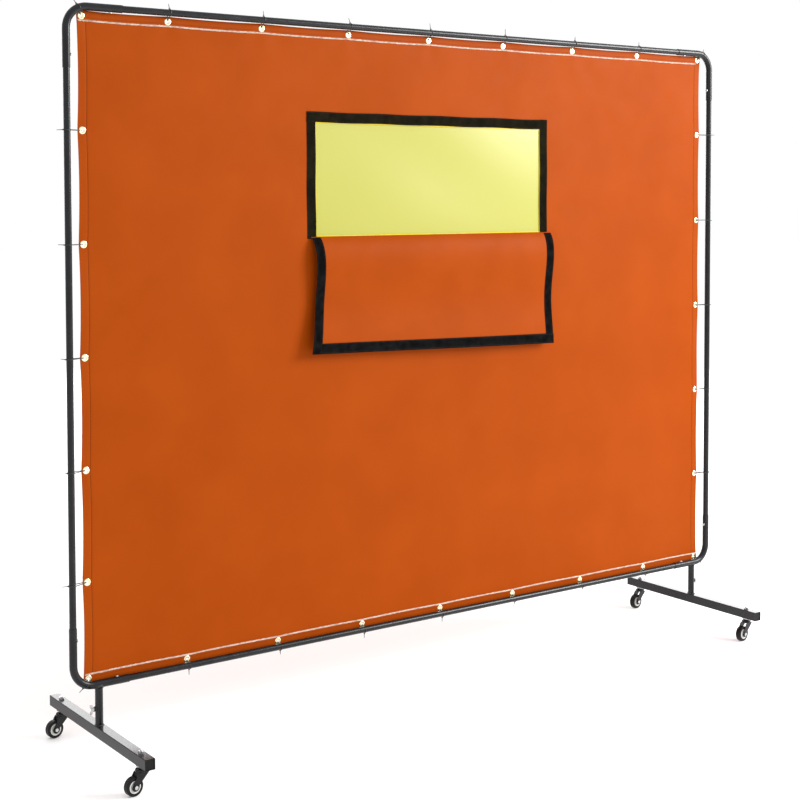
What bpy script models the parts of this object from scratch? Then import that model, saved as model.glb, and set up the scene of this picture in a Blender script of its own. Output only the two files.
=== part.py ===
"""Mobile welding curtain screen.

A coated fabric curtain hangs in a frame of round tube with sleeved corner elbows. The frame's
two legs slip over spigots on square foot bars, and each bar rolls on two swivel casters.
Metres, +Z up. The front faces -Y, and the origin is on the floor under the middle.
"""

import math

import bmesh
import bpy
from mathutils import Matrix, Vector

# Frame: centre lines of the round tubes
POST_SPACING = 2.510
FRAME_RISE = 1.840
TUBE_RADIUS = 0.0095
TUBE_WALL = 0.0012
ELBOW_BEND = 0.060
SLEEVE_WALL = 0.0012
SLEEVE_REACH = 0.165
TUBE_OVERLAP = 0.060
SCREW_SETBACK = 0.035

# Legs and foot bars
LEG_INSET = 0.075
LEG_RISE = 0.1135
BAR_LENGTH = 0.600
BAR_SIZE = 0.030
BAR_WALL = 0.0015
SPIGOT_HEIGHT = 0.060
PLUG_DEPTH = 0.012
PLUG_WALL = 0.002
PLUG_RECESS = 0.001

# Wing bolt that clamps a leg on its spigot
BOLT_HEIGHT = 0.046
BOLT_RADIUS = 0.003
BOSS_RADIUS = 0.0065
BOSS_LENGTH = 0.006
WING_SPAN = 0.030
WING_THICKNESS = 0.002
WING_HEIGHT = 0.010

# Corner screws
SCREW_RADIUS = 0.002
SCREW_LENGTH = 0.0075
SCREW_HEAD_RADIUS = 0.0045
SCREW_HEAD_HEIGHT = 0.0026

# Casters
CASTER_HEIGHT = 0.0765
CASTER_SPACING = 0.500
CASTER_HEADING = math.radians(186)
WHEEL_RADIUS = 0.0254
WHEEL_WIDTH = 0.018
RIM_RADIUS = 0.017
TRAIL = 0.0245
STEM_RADIUS = 0.004
STEM_FLANGE_RADIUS = 0.0145
STEM_FLANGE_THICKNESS = 0.003
RACE_RADIUS = 0.0125
RACE_HEIGHT = 0.005
RIVET_RADIUS = 0.0075
RIVET_HEIGHT = 0.003
STEM_NUT_FLATS = 0.013
STEM_NUT_HEIGHT = 0.0065
FORK_THICKNESS = 0.0022
FORK_SIDE_GAP = 0.0015
FORK_LOBE_RADIUS = 0.0105
FORK_NOSE = 0.014
FORK_TAIL = 0.021
FORK_SKIRT = 0.0075
AXLE_RADIUS = 0.003
AXLE_HEAD_FLATS = 0.010
AXLE_HEAD_HEIGHT = 0.0035

# Curtain, window and flap
CURTAIN_SIDE_GAP = 0.036
CURTAIN_TOP_DROP = 0.0095
CURTAIN_BOTTOM_LIFT = 0.0015
CURTAIN_THICKNESS = 0.0015
WINDOW_WIDTH = 0.957
WINDOW_HEIGHT = 0.372
WINDOW_TOP_DROP = 0.2475
WINDOW_LAP = 0.025
PANE_THICKNESS = 0.0008
TAPE_WIDTH = 0.031
TAPE_THICKNESS = 0.002
TAPE_OVERHANG = 0.004
FLAP_WIDTH = 0.950
FLAP_LENGTH = 0.362
FLAP_SHIFT = 0.015
FLAP_THICKNESS = 0.0015
FLAP_TOP_GAP = 0.0006
FLAP_BACK_GAP = 0.001

# Clearances between touching pieces
GAP = 0.0003

# Facets round a circle
TUBE_SIDES = 20
BEND_STEPS = 7
TYRE_SIDES = 28
SMALL_SIDES = 16
SCREW_SIDES = 12

# Places that follow from the sizes above
SLEEVE_BORE = TUBE_RADIUS + GAP
SLEEVE_RADIUS = SLEEVE_BORE + SLEEVE_WALL
BAR_TOP = CASTER_HEIGHT + BAR_SIZE
BOTTOM_Z = BAR_TOP + LEG_RISE
TOP_Z = BOTTOM_Z + FRAME_RISE
POST_X = POST_SPACING / 2
LEG_X = POST_X - LEG_INSET
CASTER_Y = CASTER_SPACING / 2
BOLT_HOLE = BOLT_RADIUS + GAP
SCREW_HOLE = SCREW_RADIUS + GAP
STEM_HOLE = STEM_RADIUS + GAP
AXLE_HOLE = AXLE_RADIUS + GAP
CURTAIN_WIDTH = POST_SPACING - 2 * CURTAIN_SIDE_GAP
CURTAIN_FRONT = SLEEVE_RADIUS + GAP
CURTAIN_BACK = CURTAIN_FRONT + CURTAIN_THICKNESS
CURTAIN_TOP = TOP_Z - CURTAIN_TOP_DROP
CURTAIN_BOTTOM = BOTTOM_Z + CURTAIN_BOTTOM_LIFT
WINDOW_TOP = CURTAIN_TOP - WINDOW_TOP_DROP
FOLD_Z = WINDOW_TOP - WINDOW_HEIGHT
WINDOW_TAPE_FRONT = CURTAIN_FRONT - GAP - TAPE_THICKNESS
FLAP_BACK = CURTAIN_FRONT - FLAP_BACK_GAP
FLAP_FRONT = FLAP_BACK - FLAP_THICKNESS
FLAP_TAPE_FRONT = FLAP_FRONT - GAP - TAPE_THICKNESS
FLAP_AXIS_Y = (WINDOW_TAPE_FRONT - 2 * GAP + FLAP_TAPE_FRONT) / 2
CROWN_TOP = CASTER_HEIGHT - GAP - STEM_FLANGE_THICKNESS - RACE_HEIGHT - GAP
CROWN_UNDERSIDE = CROWN_TOP - FORK_THICKNESS
FORK_INNER = WHEEL_WIDTH / 2 + FORK_SIDE_GAP
FORK_OUTER = FORK_INNER + FORK_THICKNESS

CORNERS = {
    "top_left": (-1, 1),
    "top_right": (1, 1),
    "bottom_left": (-1, -1),
    "bottom_right": (1, -1),
}
SIDES = {"left": -1, "right": 1}
ENDS = {"front": -1, "rear": 1}


def clear_scene():
    """Removes everything that the scene starts with."""
    for obj in list(bpy.data.objects):
        bpy.data.objects.remove(obj, do_unlink=True)


def make_material(name, colour, roughness, metallic=0.0, alpha=1.0):
    """Returns a Principled material."""
    material = bpy.data.materials.new(name)
    material.use_nodes = True
    shader = material.node_tree.nodes["Principled BSDF"]
    shader.inputs["Base Color"].default_value = (*colour, 1.0)
    shader.inputs["Roughness"].default_value = roughness
    shader.inputs["Metallic"].default_value = metallic
    shader.inputs["Alpha"].default_value = alpha
    return material


def make_object(name, mesh_data, material, matrix=None, parent=None):
    """Makes a mesh object from a bmesh, puts it in place and shades its round faces smooth."""
    bmesh.ops.recalc_face_normals(mesh_data, faces=mesh_data.faces)
    mesh = bpy.data.meshes.new(name)
    mesh_data.to_mesh(mesh)
    mesh_data.free()
    mesh.shade_smooth()
    mesh.set_sharp_from_angle(angle=math.radians(35))
    mesh.materials.append(material)
    obj = bpy.data.objects.new(name, mesh)
    bpy.context.scene.collection.objects.link(obj)
    obj.matrix_world = matrix or Matrix.Identity(4)
    if parent:
        obj.parent = parent
    return obj


def make_empty(name, location, parent=None, turn=0.0):
    """Makes an empty that marks a joint's axis. The turn is about Z."""
    empty = bpy.data.objects.new(name, None)
    empty.empty_display_size = 0.02
    bpy.context.scene.collection.objects.link(empty)
    empty.location = location
    empty.rotation_euler = (0, 0, turn)
    empty.parent = parent
    return empty


def boolean(target, tool, operation):
    """Joins the tool to the target, or cuts it out. The tool stays as a hidden helper."""
    tool.hide_render = True
    tool.display_type = "WIRE"
    modifier = target.modifiers.new(tool.name, "BOOLEAN")
    modifier.operation = operation
    modifier.solver = "EXACT"
    modifier.object = tool


def swept_shell(stations, outer, inner, sides):
    """Returns a bmesh of a round tube whose cross-sections stand at the stations."""
    shell = bmesh.new()
    loops = []
    for radius in (outer, inner):
        rings = []
        for station in stations:
            ring = []
            for step in range(sides):
                angle = 2 * math.pi * step / sides
                point = Vector((radius * math.cos(angle), radius * math.sin(angle), 0))
                ring.append(shell.verts.new(station @ point))
            rings.append(ring)
        loops.append(rings)
    outside, inside = loops
    strips = list(zip(outside, outside[1:])) + list(zip(inside, inside[1:]))
    strips += [(outside[0], inside[0]), (outside[-1], inside[-1])]
    for first, second in strips:
        for step in range(sides):
            after = (step + 1) % sides
            shell.faces.new((first[step], first[after], second[after], second[step]))
    return shell


def facing(point, direction):
    """Returns a matrix at the point whose Z axis runs along the direction."""
    turn = Vector(direction).to_track_quat("Z", "Y").to_matrix().to_4x4()
    return Matrix.Translation(point) @ turn


def cylinder_mesh(radius, depth, sides):
    """Returns a bmesh of a cylinder that rises from the origin along Z."""
    body = bmesh.new()
    place = Matrix.Translation((0, 0, depth / 2))
    bmesh.ops.create_cone(
        body,
        cap_ends=True,
        segments=sides,
        radius1=radius,
        radius2=radius,
        depth=depth,
        matrix=place,
    )
    return body


def box_mesh(low, high):
    """Returns a bmesh of a box between two corners."""
    body = bmesh.new()
    low = Vector(low)
    high = Vector(high)
    place = Matrix.Translation((low + high) / 2) @ Matrix.Diagonal((*(high - low), 1))
    bmesh.ops.create_cube(body, size=1.0, matrix=place)
    return body


def turned_mesh(profile, sides, flats=False):
    """Returns a bmesh of a profile of (radius, height) points turned about Z.

    A closed profile clear of the axis makes a ring, and one that starts and ends on the axis
    makes a solid. With flats, the facets touch each circle, and one of them faces each axis
    when the sides are a multiple of four.
    """
    body = bmesh.new()
    solid = profile[0][0] == 0
    points = profile[1:-1] if solid else profile
    turn = math.pi / sides if flats else 0
    growth = 1 / math.cos(math.pi / sides) if flats else 1
    rings = []
    for radius, height in points:
        reach = radius * growth
        ring = []
        for step in range(sides):
            angle = turn + 2 * math.pi * step / sides
            ring.append(body.verts.new((reach * math.cos(angle), reach * math.sin(angle), height)))
        rings.append(ring)
    pairs = list(zip(rings, rings[1:]))
    if not solid:
        pairs.append((rings[-1], rings[0]))
    for first, second in pairs:
        for step in range(sides):
            after = (step + 1) % sides
            body.faces.new((first[step], first[after], second[after], second[step]))
    if solid:
        body.faces.new(rings[0])
        body.faces.new(rings[-1])
    return body


def prism_mesh(outline, half_width):
    """Returns a bmesh of an outline in the XZ plane, extruded to both sides along Y."""
    body = bmesh.new()
    face = body.faces.new([body.verts.new((x, -half_width, z)) for x, z in outline])
    extruded = bmesh.ops.extrude_face_region(body, geom=[face])
    moved = [item for item in extruded["geom"] if isinstance(item, bmesh.types.BMVert)]
    bmesh.ops.translate(body, vec=(0, 2 * half_width, 0), verts=moved)
    return body


def arc(centre, radius, start, end, steps):
    """Returns points along an arc, with its angles in degrees."""
    points = []
    for step in range(steps + 1):
        angle = math.radians(start + (end - start) * step / steps)
        points.append((centre[0] + radius * math.cos(angle), centre[1] + radius * math.sin(angle)))
    return points


def drill(target, name, start, direction, radius, depth, sides=SCREW_SIDES):
    """Cuts a round hole in the target."""
    cutter = make_object(
        name,
        cylinder_mesh(radius, depth, sides),
        target.data.materials[0],
        facing(start, direction),
    )
    boolean(target, cutter, "DIFFERENCE")


def hex_nut(name, flats, height, bore, material, matrix, parent=None):
    """Makes a six-sided nut with a plain bore, standing on its matrix."""
    corner = flats / math.sqrt(3)
    nut = make_object(name, cylinder_mesh(corner, height, 6), material, matrix, parent)
    cutter = make_object(
        name + "_bore",
        cylinder_mesh(bore, 3 * height, SCREW_SIDES),
        material,
        matrix @ Matrix.Translation((0, 0, -height)),
        parent,
    )
    boolean(nut, cutter, "DIFFERENCE")
    return nut


def corner_point(corner, along_x=0.0, along_z=0.0):
    """Returns a point near a frame corner, measured from the corner towards the middle."""
    side, level = CORNERS[corner]
    z = TOP_Z if level > 0 else BOTTOM_Z
    return Vector((side * (POST_X - along_x), 0, z - level * along_z))


def elbow_stations(corner):
    """Returns the cross-section matrices of an elbow, from its upright end to its level end."""
    side, level = CORNERS[corner]
    down = Vector((0, 0, -level))
    inward = Vector((-side, 0, 0))
    centre = corner_point(corner, ELBOW_BEND, ELBOW_BEND)
    cross = inward.cross(down)
    path = [(corner_point(corner, 0, SLEEVE_REACH), -down)]
    for step in range(BEND_STEPS + 1):
        angle = math.pi / 2 * step / BEND_STEPS
        offset = -inward * math.cos(angle) - down * math.sin(angle)
        heading = -down * math.cos(angle) + inward * math.sin(angle)
        path.append((centre + offset * ELBOW_BEND, heading))
    path.append((corner_point(corner, SLEEVE_REACH, 0), inward))
    stations = []
    for point, heading in path:
        turn = Matrix((cross, heading.cross(cross), heading)).transposed().to_4x4()
        stations.append(Matrix.Translation(point) @ turn)
    return stations


def screw_places(corner):
    """Returns the two screw places of a corner: a name, a point on the centre line, a direction."""
    side, level = CORNERS[corner]
    reach = SLEEVE_REACH - SCREW_SETBACK
    return [
        ("post", corner_point(corner, 0, reach), Vector((-side, 0, 0))),
        ("rail", corner_point(corner, reach, 0), Vector((0, 0, -level))),
    ]


def build_elbow(corner, material):
    """Makes a corner elbow. A bottom one carries its welded leg and the boss of the wing bolt."""
    side, level = CORNERS[corner]
    name = corner + "_elbow"
    shell = swept_shell(elbow_stations(corner), SLEEVE_RADIUS, SLEEVE_BORE, TUBE_SIDES)
    elbow = make_object(name, shell, material)
    if level < 0:
        add_leg(elbow, name, side, material)
    for end, point, direction in screw_places(corner):
        drill(elbow, f"{name}_{end}_hole", point, direction, SCREW_HOLE, 2 * SLEEVE_RADIUS)


def add_leg(elbow, name, side, material):
    """Welds a leg tube and its boss under a bottom elbow, and bores them."""
    foot = BAR_TOP + GAP
    outward = Vector((side, 0, 0))
    weld_top = BOTTOM_Z - SLEEVE_BORE - SLEEVE_WALL / 2
    leg = make_object(
        name + "_leg",
        cylinder_mesh(SLEEVE_RADIUS, weld_top - foot, TUBE_SIDES),
        material,
        Matrix.Translation((side * LEG_X, 0, foot)),
    )
    boolean(elbow, leg, "UNION")
    start = Vector((side * LEG_X, 0, BAR_TOP + BOLT_HEIGHT)) + outward * SLEEVE_BORE
    boss_depth = SLEEVE_WALL + BOSS_LENGTH
    boss = make_object(
        name + "_boss",
        cylinder_mesh(BOSS_RADIUS, boss_depth, SMALL_SIDES),
        material,
        facing(start, outward),
    )
    boolean(elbow, boss, "UNION")
    bore_top = weld_top - 2 * SLEEVE_WALL
    bore_start = (side * LEG_X, 0, foot - SLEEVE_WALL)
    bore_depth = bore_top - foot + SLEEVE_WALL
    drill(elbow, name + "_leg_bore", bore_start, (0, 0, 1), SLEEVE_BORE, bore_depth, TUBE_SIDES)
    bolt_start = Vector((side * LEG_X, 0, BAR_TOP + BOLT_HEIGHT))
    bolt_depth = SLEEVE_RADIUS + 2 * BOSS_LENGTH
    drill(elbow, name + "_bolt_hole", bolt_start, outward, BOLT_HOLE, bolt_depth)


def build_tube(name, start_corner, end_corner, upright, material):
    """Makes a straight tube between two corners, drilled for the screw at each end."""
    reach = SLEEVE_REACH - TUBE_OVERLAP
    offsets = (0, reach) if upright else (reach, 0)
    start = corner_point(start_corner, *offsets)
    end = corner_point(end_corner, *offsets)
    heading = end - start
    stations = [facing(start, heading), facing(end, heading)]
    tube = make_object(
        name,
        swept_shell(stations, TUBE_RADIUS, TUBE_RADIUS - TUBE_WALL, TUBE_SIDES),
        material,
    )
    for corner in (start_corner, end_corner):
        post_screw, rail_screw = screw_places(corner)
        _, point, direction = post_screw if upright else rail_screw
        drill(tube, f"{name}_{corner}_hole", point, direction, SCREW_HOLE, 2 * TUBE_RADIUS)


def build_corner_screws(corner, material):
    """Makes the two screws that hold an elbow's sleeves on the tubes."""
    shank_end = SLEEVE_RADIUS + GAP - SCREW_LENGTH
    seat = SLEEVE_RADIUS + GAP
    top = seat + SCREW_HEAD_HEIGHT
    profile = [
        (0, shank_end),
        (SCREW_RADIUS, shank_end),
        (SCREW_RADIUS, seat),
        (SCREW_HEAD_RADIUS, seat),
        (SCREW_HEAD_RADIUS, seat + SCREW_HEAD_HEIGHT / 3),
        (SCREW_HEAD_RADIUS * 0.7, top),
        (0, top),
    ]
    for end, point, direction in screw_places(corner):
        screw = turned_mesh(profile, SCREW_SIDES)
        make_object(f"{corner}_{end}_screw", screw, material, facing(point, direction))


def build_foot_bar(side_name, material):
    """Makes a square foot bar with its welded spigot and the holes for the caster stems."""
    side = SIDES[side_name]
    name = side_name + "_foot_bar"
    x = side * LEG_X
    half = BAR_SIZE / 2
    inner = half - BAR_WALL
    length = BAR_LENGTH / 2
    middle = CASTER_HEIGHT + half
    outer_box = box_mesh((x - half, -length, CASTER_HEIGHT), (x + half, length, BAR_TOP))
    bar = make_object(name, outer_box, material)
    spigot = make_object(
        name + "_spigot",
        cylinder_mesh(TUBE_RADIUS, SPIGOT_HEIGHT + BAR_WALL / 2, TUBE_SIDES),
        material,
        Matrix.Translation((x, 0, BAR_TOP - BAR_WALL / 2)),
    )
    boolean(bar, spigot, "UNION")
    drill(
        bar,
        name + "_spigot_bore",
        (x, 0, BAR_TOP),
        (0, 0, 1),
        TUBE_RADIUS - TUBE_WALL,
        2 * SPIGOT_HEIGHT,
        TUBE_SIDES,
    )
    hollow = box_mesh(
        (x - inner, -BAR_LENGTH, middle - inner),
        (x + inner, BAR_LENGTH, middle + inner),
    )
    boolean(bar, make_object(name + "_hollow", hollow, material), "DIFFERENCE")
    for end_name, end in ENDS.items():
        start = (x, end * CASTER_Y, CASTER_HEIGHT - BAR_SIZE)
        drill(bar, f"{name}_{end_name}_hole", start, (0, 0, 1), STEM_HOLE, 3 * BAR_SIZE)


def build_end_plug(side_name, end_name, material):
    """Makes the cup-shaped plug in one end of a foot bar."""
    side = SIDES[side_name]
    end = ENDS[end_name]
    name = f"{side_name}_{end_name}_end_plug"
    half = BAR_SIZE / 2 - BAR_WALL - GAP
    face_y = BAR_LENGTH / 2 - PLUG_RECESS
    place = Matrix.Translation((side * LEG_X, 0, CASTER_HEIGHT + BAR_SIZE / 2))
    if end < 0:
        place = place @ Matrix.Rotation(math.pi, 4, "Z")
    body = box_mesh((-half, face_y - PLUG_DEPTH, -half), (half, face_y, half))
    plug = make_object(name, body, material, place)
    hollow = half - PLUG_WALL
    cup = box_mesh((-hollow, 0, -hollow), (hollow, face_y - PLUG_WALL, hollow))
    boolean(plug, make_object(name + "_cup", cup, material, place), "DIFFERENCE")


def build_wing_bolt(side_name, material):
    """Makes a wing bolt on its axis. Its tip ends just short of the spigot."""
    side = SIDES[side_name]
    outward = Vector((side, 0, 0))
    location = Vector((side * LEG_X, 0, BAR_TOP + BOLT_HEIGHT))
    axis = make_empty(side_name + "_wing_bolt_axis", location)
    tip = TUBE_RADIUS + GAP
    collar = SLEEVE_RADIUS + BOSS_LENGTH + GAP
    collar_radius = 2 * BOLT_RADIUS
    collar_top = collar + 2 * BOLT_RADIUS
    profile = [
        (0, tip),
        (BOLT_RADIUS, tip),
        (BOLT_RADIUS, collar),
        (collar_radius, collar),
        (collar_radius * 0.7, collar_top),
        (0, collar_top),
    ]
    turned = turned_mesh(profile, SCREW_SIDES)
    along = facing((0, 0, 0), outward)
    bolt = make_object(side_name + "_wing_bolt", turned, material, along, axis)
    half = WING_SPAN / 2
    inner = BOLT_RADIUS
    base = collar + WING_THICKNESS / 2
    top = base + WING_HEIGHT
    outline = [(-inner, base), (inner, base)]
    outline += arc((half - WING_HEIGHT / 3, top - WING_HEIGHT / 3), WING_HEIGHT / 3, -60, 120, 4)
    outline += [(inner, collar_top - BOLT_RADIUS), (-inner, collar_top - BOLT_RADIUS)]
    outline += arc((WING_HEIGHT / 3 - half, top - WING_HEIGHT / 3), WING_HEIGHT / 3, 60, 240, 4)
    upright = along @ Matrix.Rotation(math.pi / 2, 4, "Z")
    plate = prism_mesh(outline, WING_THICKNESS / 2)
    wings = make_object(side_name + "_wings", plate, material, upright, axis)
    boolean(bolt, wings, "UNION")


def build_stem(name, place, material):
    """Makes a caster stem: the bolt through the foot bar, its flange, race and lower rivet."""
    flange_top = CASTER_HEIGHT - GAP
    flange_under = flange_top - STEM_FLANGE_THICKNESS
    race_under = flange_under - RACE_HEIGHT
    rivet_top = CROWN_UNDERSIDE - GAP
    stem_top = BAR_TOP + STEM_NUT_HEIGHT + 2 * STEM_RADIUS / 3
    profile = [
        (0, rivet_top - RIVET_HEIGHT),
        (RIVET_RADIUS * 0.7, rivet_top - RIVET_HEIGHT),
        (RIVET_RADIUS, rivet_top),
        (STEM_RADIUS, rivet_top),
        (STEM_RADIUS, race_under),
        (RACE_RADIUS * 0.8, race_under),
        (RACE_RADIUS, flange_under),
        (STEM_FLANGE_RADIUS, flange_under),
        (STEM_FLANGE_RADIUS, flange_top),
        (STEM_RADIUS, flange_top),
        (STEM_RADIUS, stem_top),
        (0, stem_top),
    ]
    matrix = Matrix.Translation((place.x, place.y, 0))
    make_object(name + "_stem", turned_mesh(profile, SMALL_SIDES), material, matrix)


def fork_outline():
    """Returns the side outline of a fork, with the wheel trailing towards +X."""
    skirt = CROWN_TOP - FORK_SKIRT
    lobe = arc((TRAIL, WHEEL_RADIUS), FORK_LOBE_RADIUS, 55, -150, 8)
    outline = [(-FORK_NOSE, CROWN_TOP), (FORK_TAIL, CROWN_TOP), (FORK_TAIL, skirt)]
    outline += [(FORK_NOSE, skirt)]
    outline += lobe
    outline += [(0, CROWN_TOP - 3 * FORK_SKIRT), (-FORK_NOSE, skirt)]
    return outline


def build_fork(name, swivel, material):
    """Makes a pressed caster fork: crown, two cheeks and the holes for stem and axle."""
    fork = make_object(name, prism_mesh(fork_outline(), FORK_OUTER), material, parent=swivel)
    low = (-2 * TRAIL, -FORK_INNER, -WHEEL_RADIUS)
    high = (3 * TRAIL, FORK_INNER, CROWN_UNDERSIDE)
    slot = make_object(name + "_slot", box_mesh(low, high), material, parent=swivel)
    boolean(fork, slot, "DIFFERENCE")
    stem_hole = make_object(
        name + "_stem_hole",
        cylinder_mesh(STEM_HOLE, CASTER_HEIGHT, SCREW_SIDES),
        material,
        Matrix.Translation((0, 0, WHEEL_RADIUS)),
        swivel,
    )
    boolean(fork, stem_hole, "DIFFERENCE")
    axle_hole = make_object(
        name + "_axle_hole",
        cylinder_mesh(AXLE_HOLE, 4 * FORK_OUTER, SCREW_SIDES),
        material,
        facing((TRAIL, -2 * FORK_OUTER, WHEEL_RADIUS), (0, 1, 0)),
        swivel,
    )
    boolean(fork, axle_hole, "DIFFERENCE")
    # The cheeks have many-sided faces, and a fixed split of them gives the same solid each time.
    fork.modifiers.new("triangles", "TRIANGULATE").ngon_method = "BEAUTY"


def build_axle(name, swivel, material):
    """Makes the axle bolt and its nut, which clamp the fork's cheeks."""
    seat = FORK_OUTER + GAP
    nut_height = AXLE_HEAD_HEIGHT + AXLE_RADIUS / 2
    length = 2 * seat + nut_height + AXLE_RADIUS / 2
    along = facing((TRAIL, seat, WHEEL_RADIUS), (0, -1, 0))
    shank = cylinder_mesh(AXLE_RADIUS, length, SCREW_SIDES)
    bolt = make_object(name + "_axle_bolt", shank, material, along, swivel)
    head = cylinder_mesh(AXLE_HEAD_FLATS / math.sqrt(3), AXLE_HEAD_HEIGHT, 6)
    head_place = facing((TRAIL, seat, WHEEL_RADIUS), (0, 1, 0))
    boolean(bolt, make_object(name + "_axle_head", head, material, head_place, swivel), "UNION")
    nut_place = facing((TRAIL, -seat, WHEEL_RADIUS), (0, -1, 0))
    hex_nut(name + "_axle_nut", AXLE_HEAD_FLATS, nut_height, AXLE_HOLE, material, nut_place, swivel)


def build_wheel(name, swivel, tyre_material, rim_material):
    """Makes the tyre and the rim on the axle's centre line."""
    hub = make_empty(name + "_axle_axis", (TRAIL, 0, WHEEL_RADIUS), swivel)
    half = WHEEL_WIDTH / 2
    round_off = WHEEL_WIDTH / 4
    tread = [
        (RIM_RADIUS, -half),
        (WHEEL_RADIUS - round_off, -half),
        (WHEEL_RADIUS, round_off - half),
        (WHEEL_RADIUS, half - round_off),
        (WHEEL_RADIUS - round_off, half),
        (RIM_RADIUS, half),
    ]
    across = facing((0, 0, 0), (0, 1, 0))
    make_object(name + "_tyre", turned_mesh(tread, TYRE_SIDES, True), tyre_material, across, hub)
    rim_edge = RIM_RADIUS - GAP
    web = half / 3
    hub_radius = 2 * AXLE_RADIUS
    hub_half = FORK_INNER - GAP
    lip = rim_edge - AXLE_RADIUS
    section = [
        (AXLE_HOLE, -hub_half),
        (hub_radius, -hub_half),
        (hub_radius, -web),
        (lip, -web),
        (rim_edge, -half),
        (rim_edge, half),
        (lip, web),
        (hub_radius, web),
        (hub_radius, hub_half),
        (AXLE_HOLE, hub_half),
    ]
    make_object(name + "_rim", turned_mesh(section, TYRE_SIDES, True), rim_material, across, hub)


def build_caster(side_name, end_name, looks):
    """Makes one swivel caster, from the nut on the foot bar down to the wheel."""
    name = f"{side_name}_{end_name}_caster"
    place = Vector((SIDES[side_name] * LEG_X, ENDS[end_name] * CASTER_Y, 0))
    build_stem(name, place, looks["steel"])
    nut_place = Matrix.Translation((place.x, place.y, BAR_TOP + GAP))
    hex_nut(
        name + "_stem_nut",
        STEM_NUT_FLATS,
        STEM_NUT_HEIGHT,
        STEM_HOLE,
        looks["steel"],
        nut_place,
    )
    swivel = make_empty(name + "_swivel_axis", place, turn=CASTER_HEADING)
    build_fork(name + "_fork", swivel, looks["black"])
    build_axle(name, swivel, looks["steel"])
    build_wheel(name, swivel, looks["rubber"], looks["rim"])


def build_curtain(looks):
    """Makes the curtain with its window opening, and the clear pane behind it."""
    half = CURTAIN_WIDTH / 2
    sheet = box_mesh((-half, CURTAIN_FRONT, CURTAIN_BOTTOM), (half, CURTAIN_BACK, CURTAIN_TOP))
    curtain = make_object("curtain", sheet, looks["fabric"])
    side = WINDOW_WIDTH / 2 - TAPE_WIDTH + TAPE_OVERHANG
    top = WINDOW_TOP - TAPE_WIDTH + TAPE_OVERHANG
    opening = box_mesh((-side, CURTAIN_FRONT - TAPE_WIDTH, FOLD_Z), (side, TAPE_WIDTH, top))
    boolean(curtain, make_object("curtain_opening", opening, looks["fabric"]), "DIFFERENCE")
    pane_front = CURTAIN_BACK + GAP
    pane = box_mesh(
        (-side - WINDOW_LAP, pane_front, FOLD_Z - WINDOW_LAP),
        (side + WINDOW_LAP, pane_front + PANE_THICKNESS, top + WINDOW_LAP),
    )
    make_object("window_pane", pane, looks["pane"])


def tape_mesh(width, height, tape, front, closed_at_top):
    """Returns a bmesh of a three-sided tape border, its open side level with Z = 0."""
    half = width / 2
    inner = half - tape
    end = height if closed_at_top else -height
    inner_end = end - tape if closed_at_top else end + tape
    outline = [(-half, 0), (-inner, 0), (-inner, inner_end), (inner, inner_end)]
    outline += [(inner, 0), (half, 0), (half, end), (-half, end)]
    body = prism_mesh(outline, TAPE_THICKNESS / 2)
    bmesh.ops.translate(body, vec=(0, front + TAPE_THICKNESS / 2, 0), verts=body.verts)
    return body


def build_window_tape(material):
    """Makes the hook tape border on the front of the curtain, round the window."""
    tape = tape_mesh(WINDOW_WIDTH, WINDOW_HEIGHT, TAPE_WIDTH, WINDOW_TAPE_FRONT, True)
    make_object("window_hook_tape", tape, material, Matrix.Translation((0, 0, FOLD_Z)))


def build_flap(looks):
    """Makes the window flap, hanging open from its fold, and its loop tape border."""
    fold = make_empty("window_flap_axis", (FLAP_SHIFT, FLAP_AXIS_Y, FOLD_Z))
    half = FLAP_WIDTH / 2
    front = FLAP_FRONT - FLAP_AXIS_Y
    sheet = box_mesh(
        (-half, front, -FLAP_LENGTH),
        (half, front + FLAP_THICKNESS, -FLAP_TOP_GAP),
    )
    make_object("window_flap", sheet, looks["fabric"], parent=fold)
    tape_front = FLAP_TAPE_FRONT - FLAP_AXIS_Y
    tape = tape_mesh(FLAP_WIDTH, FLAP_LENGTH - FLAP_TOP_GAP, TAPE_WIDTH, tape_front, False)
    drop = Matrix.Translation((0, 0, -FLAP_TOP_GAP))
    make_object("window_flap_loop_tape", tape, looks["tape"], drop, fold)


def make_looks():
    """Returns the materials by the names that the builders use."""
    return {
        "black": make_material("black_powder_coat", (0.02, 0.021, 0.024), 0.4, 0.2),
        "steel": make_material("zinc_plated_steel", (0.55, 0.55, 0.54), 0.35, 0.9),
        "rubber": make_material("black_tyre", (0.015, 0.015, 0.016), 0.7),
        "rim": make_material("pale_rim", (0.75, 0.74, 0.70), 0.4),
        "plug": make_material("black_plug", (0.01, 0.01, 0.01), 0.6),
        "fabric": make_material("coated_fabric", (0.62, 0.12, 0.02), 0.6),
        "tape": make_material("black_tape", (0.01, 0.01, 0.012), 0.9),
        "pane": make_material("yellow_pane", (0.75, 0.76, 0.18), 0.2, alpha=0.8),
    }


def main():
    """Builds the whole screen."""
    clear_scene()
    looks = make_looks()
    for corner in CORNERS:
        build_elbow(corner, looks["black"])
        build_corner_screws(corner, looks["steel"])
    build_tube("left_post", "bottom_left", "top_left", True, looks["black"])
    build_tube("right_post", "bottom_right", "top_right", True, looks["black"])
    build_tube("top_rail", "top_left", "top_right", False, looks["black"])
    build_tube("bottom_rail", "bottom_left", "bottom_right", False, looks["black"])
    for side_name in SIDES:
        build_foot_bar(side_name, looks["black"])
        build_wing_bolt(side_name, looks["steel"])
        for end_name in ENDS:
            build_end_plug(side_name, end_name, looks["plug"])
            build_caster(side_name, end_name, looks)
    build_curtain(looks)
    build_window_tape(looks["tape"])
    build_flap(looks)


main()
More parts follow.
